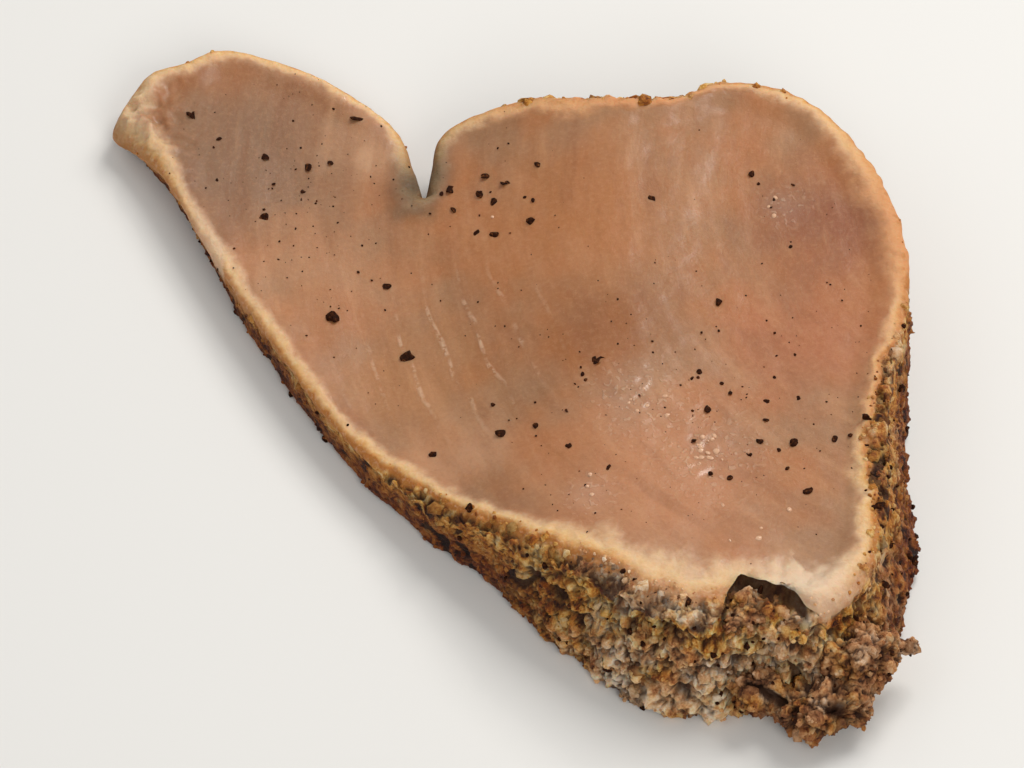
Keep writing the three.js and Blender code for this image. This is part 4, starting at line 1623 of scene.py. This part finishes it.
# %% Geometry Nodes: pieces on points
on_points, given, result = new_group(
    "pieces_on_points",
    "GeometryNodeTree",
    {**PIECE_INPUTS, "Tilt": "Float"},
    {"Geometry": "Geometry"},
)
own_size = stored_value(on_points, "half_width")
tilt = random_vector(on_points, -1.0, 1.0, seed_for(on_points, given, 5))
tilt = scaled(on_points, tilt, given["Tilt"])
leaning = add(on_points, "ShaderNodeSeparateXYZ", {0: tilt}).outputs
turn = random_number(on_points, 0.0, 2 * math.pi, seed_for(on_points, given, 4))
turns = {0: leaning[0], 1: leaning[1], 2: turn}
rotation = add(on_points, "ShaderNodeCombineXYZ", turns).outputs[0]
grown = grow_pieces(on_points, given["Geometry"], rotation, own_size, given)
on_points.links.new(grown, result["Geometry"])
print(len(on_points.nodes), "nodes set pieces on points")

# %% Places on the face
random = np.random.default_rng(5)


def around(x, y, spread, count):
    """Random places in a disc, denser towards its middle."""
    turn = 2 * math.pi * random.random(count)
    away = spread * random.random(count) ** 0.7
    return np.column_stack([x + away * np.cos(turn), y + away * np.sin(turn)])


def point_mesh(name, places, half_widths):
    """A mesh of bare points on the top face, without the places that lie off it."""
    inside, _ = nearest_on(whole_edge, places)
    within = inside_outline(edge, places) & (inside > 0.3)
    spots = np.column_stack([places + shift, face_height(*places.T, inside)])[within]
    mesh = bpy.data.meshes.new(name)
    mesh.from_pydata((spots * MM).tolist(), [], [])
    store(mesh, "half_width", (half_widths[within] * MM).astype(np.float32))
    return mesh


# %% Flakes of pepper
BOLD_PEPPER = [
    # x, y and half the width
    (-28.3, 31.3, 0.7), (-13.3, 30.6, 0.55), (-18.0, 22.4, 0.55), (-21.6, 19.2, 0.6),
    (-10.5, 11.0, 0.55), (-15.2, 7.4, 0.7), (-8.5, 2.7, 0.65), (-4.7, 20.5, 0.7),
    (-2.2, 19.6, 0.65), (-0.8, 14.7, 0.55), (2.4, 15.3, 0.55), (8.4, -2.1, 0.85),
    (13.2, 16.1, 0.55), (19.0, 4.4, 0.6), (-0.2, -8.1, 0.55), (-6.2, -9.1, 0.6),
    (25.4, -11.8, 0.5), (26.4, -17.1, 0.55), (8.1, -26.6, 0.7),
]  # fmt: skip
BOLD_SCALE = 0.75  # a flake grows a little when it is roughened
PEPPER_CLUSTERS = [
    # x, y, spread, number of flakes
    (-21, 24, 6.5, 8), (0, 20, 6.0, 10), (24, 15, 5.0, 8), (23, -9, 8.0, 22), (4, -8, 9.0, 8),
]  # fmt: skip
PEPPER_LOOK = {
    "Detail": 2,
    "Flatness": 0.42,
    "Unevenness": 2.4,
    "Roughness per m": 1.1 / MM,
    "Darkest": 0.0,
    "Palest": 1.0,
    "Smooth": False,
    "Tilt": 0.35,
    "Material": pepper_material,
}

bold = np.array(BOLD_PEPPER)
small_places = np.vstack([around(*cluster) for cluster in PEPPER_CLUSTERS])
small_sizes = 0.16 + 0.26 * random.random(len(small_places)) ** 1.5
flake_places = np.vstack([bold[:, :2], small_places])
flake_sizes = np.concatenate([bold[:, 2] * BOLD_SCALE, small_sizes])
flake_points = point_mesh("flakes", flake_places, flake_sizes)
flakes = make_piece("pepper_flakes", flake_points, on_points, {**PEPPER_LOOK, "Seed": 31})

# %% Dust of pepper
DUST_PATCHES = [(0, 3, 34), (18, -8, 18), (-18, 22, 14)]  # x, y and spread
DUST_EACH = 173

dust_places = np.vstack([around(*patch, DUST_EACH) for patch in DUST_PATCHES])
dust_sizes = 0.05 + 0.10 * random.random(len(dust_places)) ** 2
dust_points = point_mesh("dust", dust_places, dust_sizes)
dust_look = {**PEPPER_LOOK, "Detail": 1, "Seed": 32}
dust = make_piece("pepper_dust", dust_points, on_points, dust_look)

# %% Beads of juice
JUICE = [
    # x, y, spread, number of beads
    (12.5, -7.5, 2.2, 7), (17.6, -12.6, 2.2, 16), (-0.8, 16.3, 0.5, 1), (22.0, -20.0, 4.0, 5),
    (7.6, -17.3, 3.0, 5), (24.0, 14.0, 3.0, 3),
]  # fmt: skip

bead_places = np.vstack([around(*spot) for spot in JUICE])
bead_sizes = 0.12 + 0.16 * random.random(len(bead_places))
beads = make_piece("juice_beads", point_mesh("beads", bead_places, bead_sizes), on_points, {
    **PEPPER_LOOK,
    "Detail": 4,
    "Flatness": 0.5,
    "Unevenness": 0.5,
    "Smooth": True,
    "Tilt": 0.1,
    "Seed": 33,
    "Material": juice_material,
})

# %% Pepper in the crust
wall_pepper = make_piece("crust_pepper", ground_mesh, scatter, {
    "Where": "gritty",
    "Per square m": 0.10 / SQUARE_MM,
    "Smallest": 0.16 * MM,
    "Largest": 0.42 * MM,
    "Detail": 2,
    "Flatness": 0.7,
    "Unevenness": 2.2,
    "Roughness per m": 2.0 / MM,
    "Darkest": 0.0,
    "Palest": 1.0,
    "Smooth": False,
    "Sunk": -0.3,
    "Seed": 23,
    "Material": pepper_material,
})

# %% [markdown]
# ## Tie the pieces to the frame
#
# The slice is one body, so every piece rides on it and takes the place of the CAD solid.
# They could be joined into one object, but here flesh, crust, pepper and juice stay
# objects of their own.

# %% Fix the pieces
slice_mesh.materials.append(flesh_material)
lump_mesh.materials.append(crust_material)
lump_mesh.name = "crust_lumps"
SLOTS = {
    link(bpy.data.objects.new("slice", slice_mesh)): "flesh",
    link(bpy.data.objects.new("crust_lumps", lump_mesh)): "crust",
    nuggets: "crust",
    grit: "crust",
    flakes: "pepper",
    dust: "pepper",
    wall_pepper: "pepper",
    beads: "juice",
}
for piece, slot in SLOTS.items():
    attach(piece, "root")
    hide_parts(NODE)
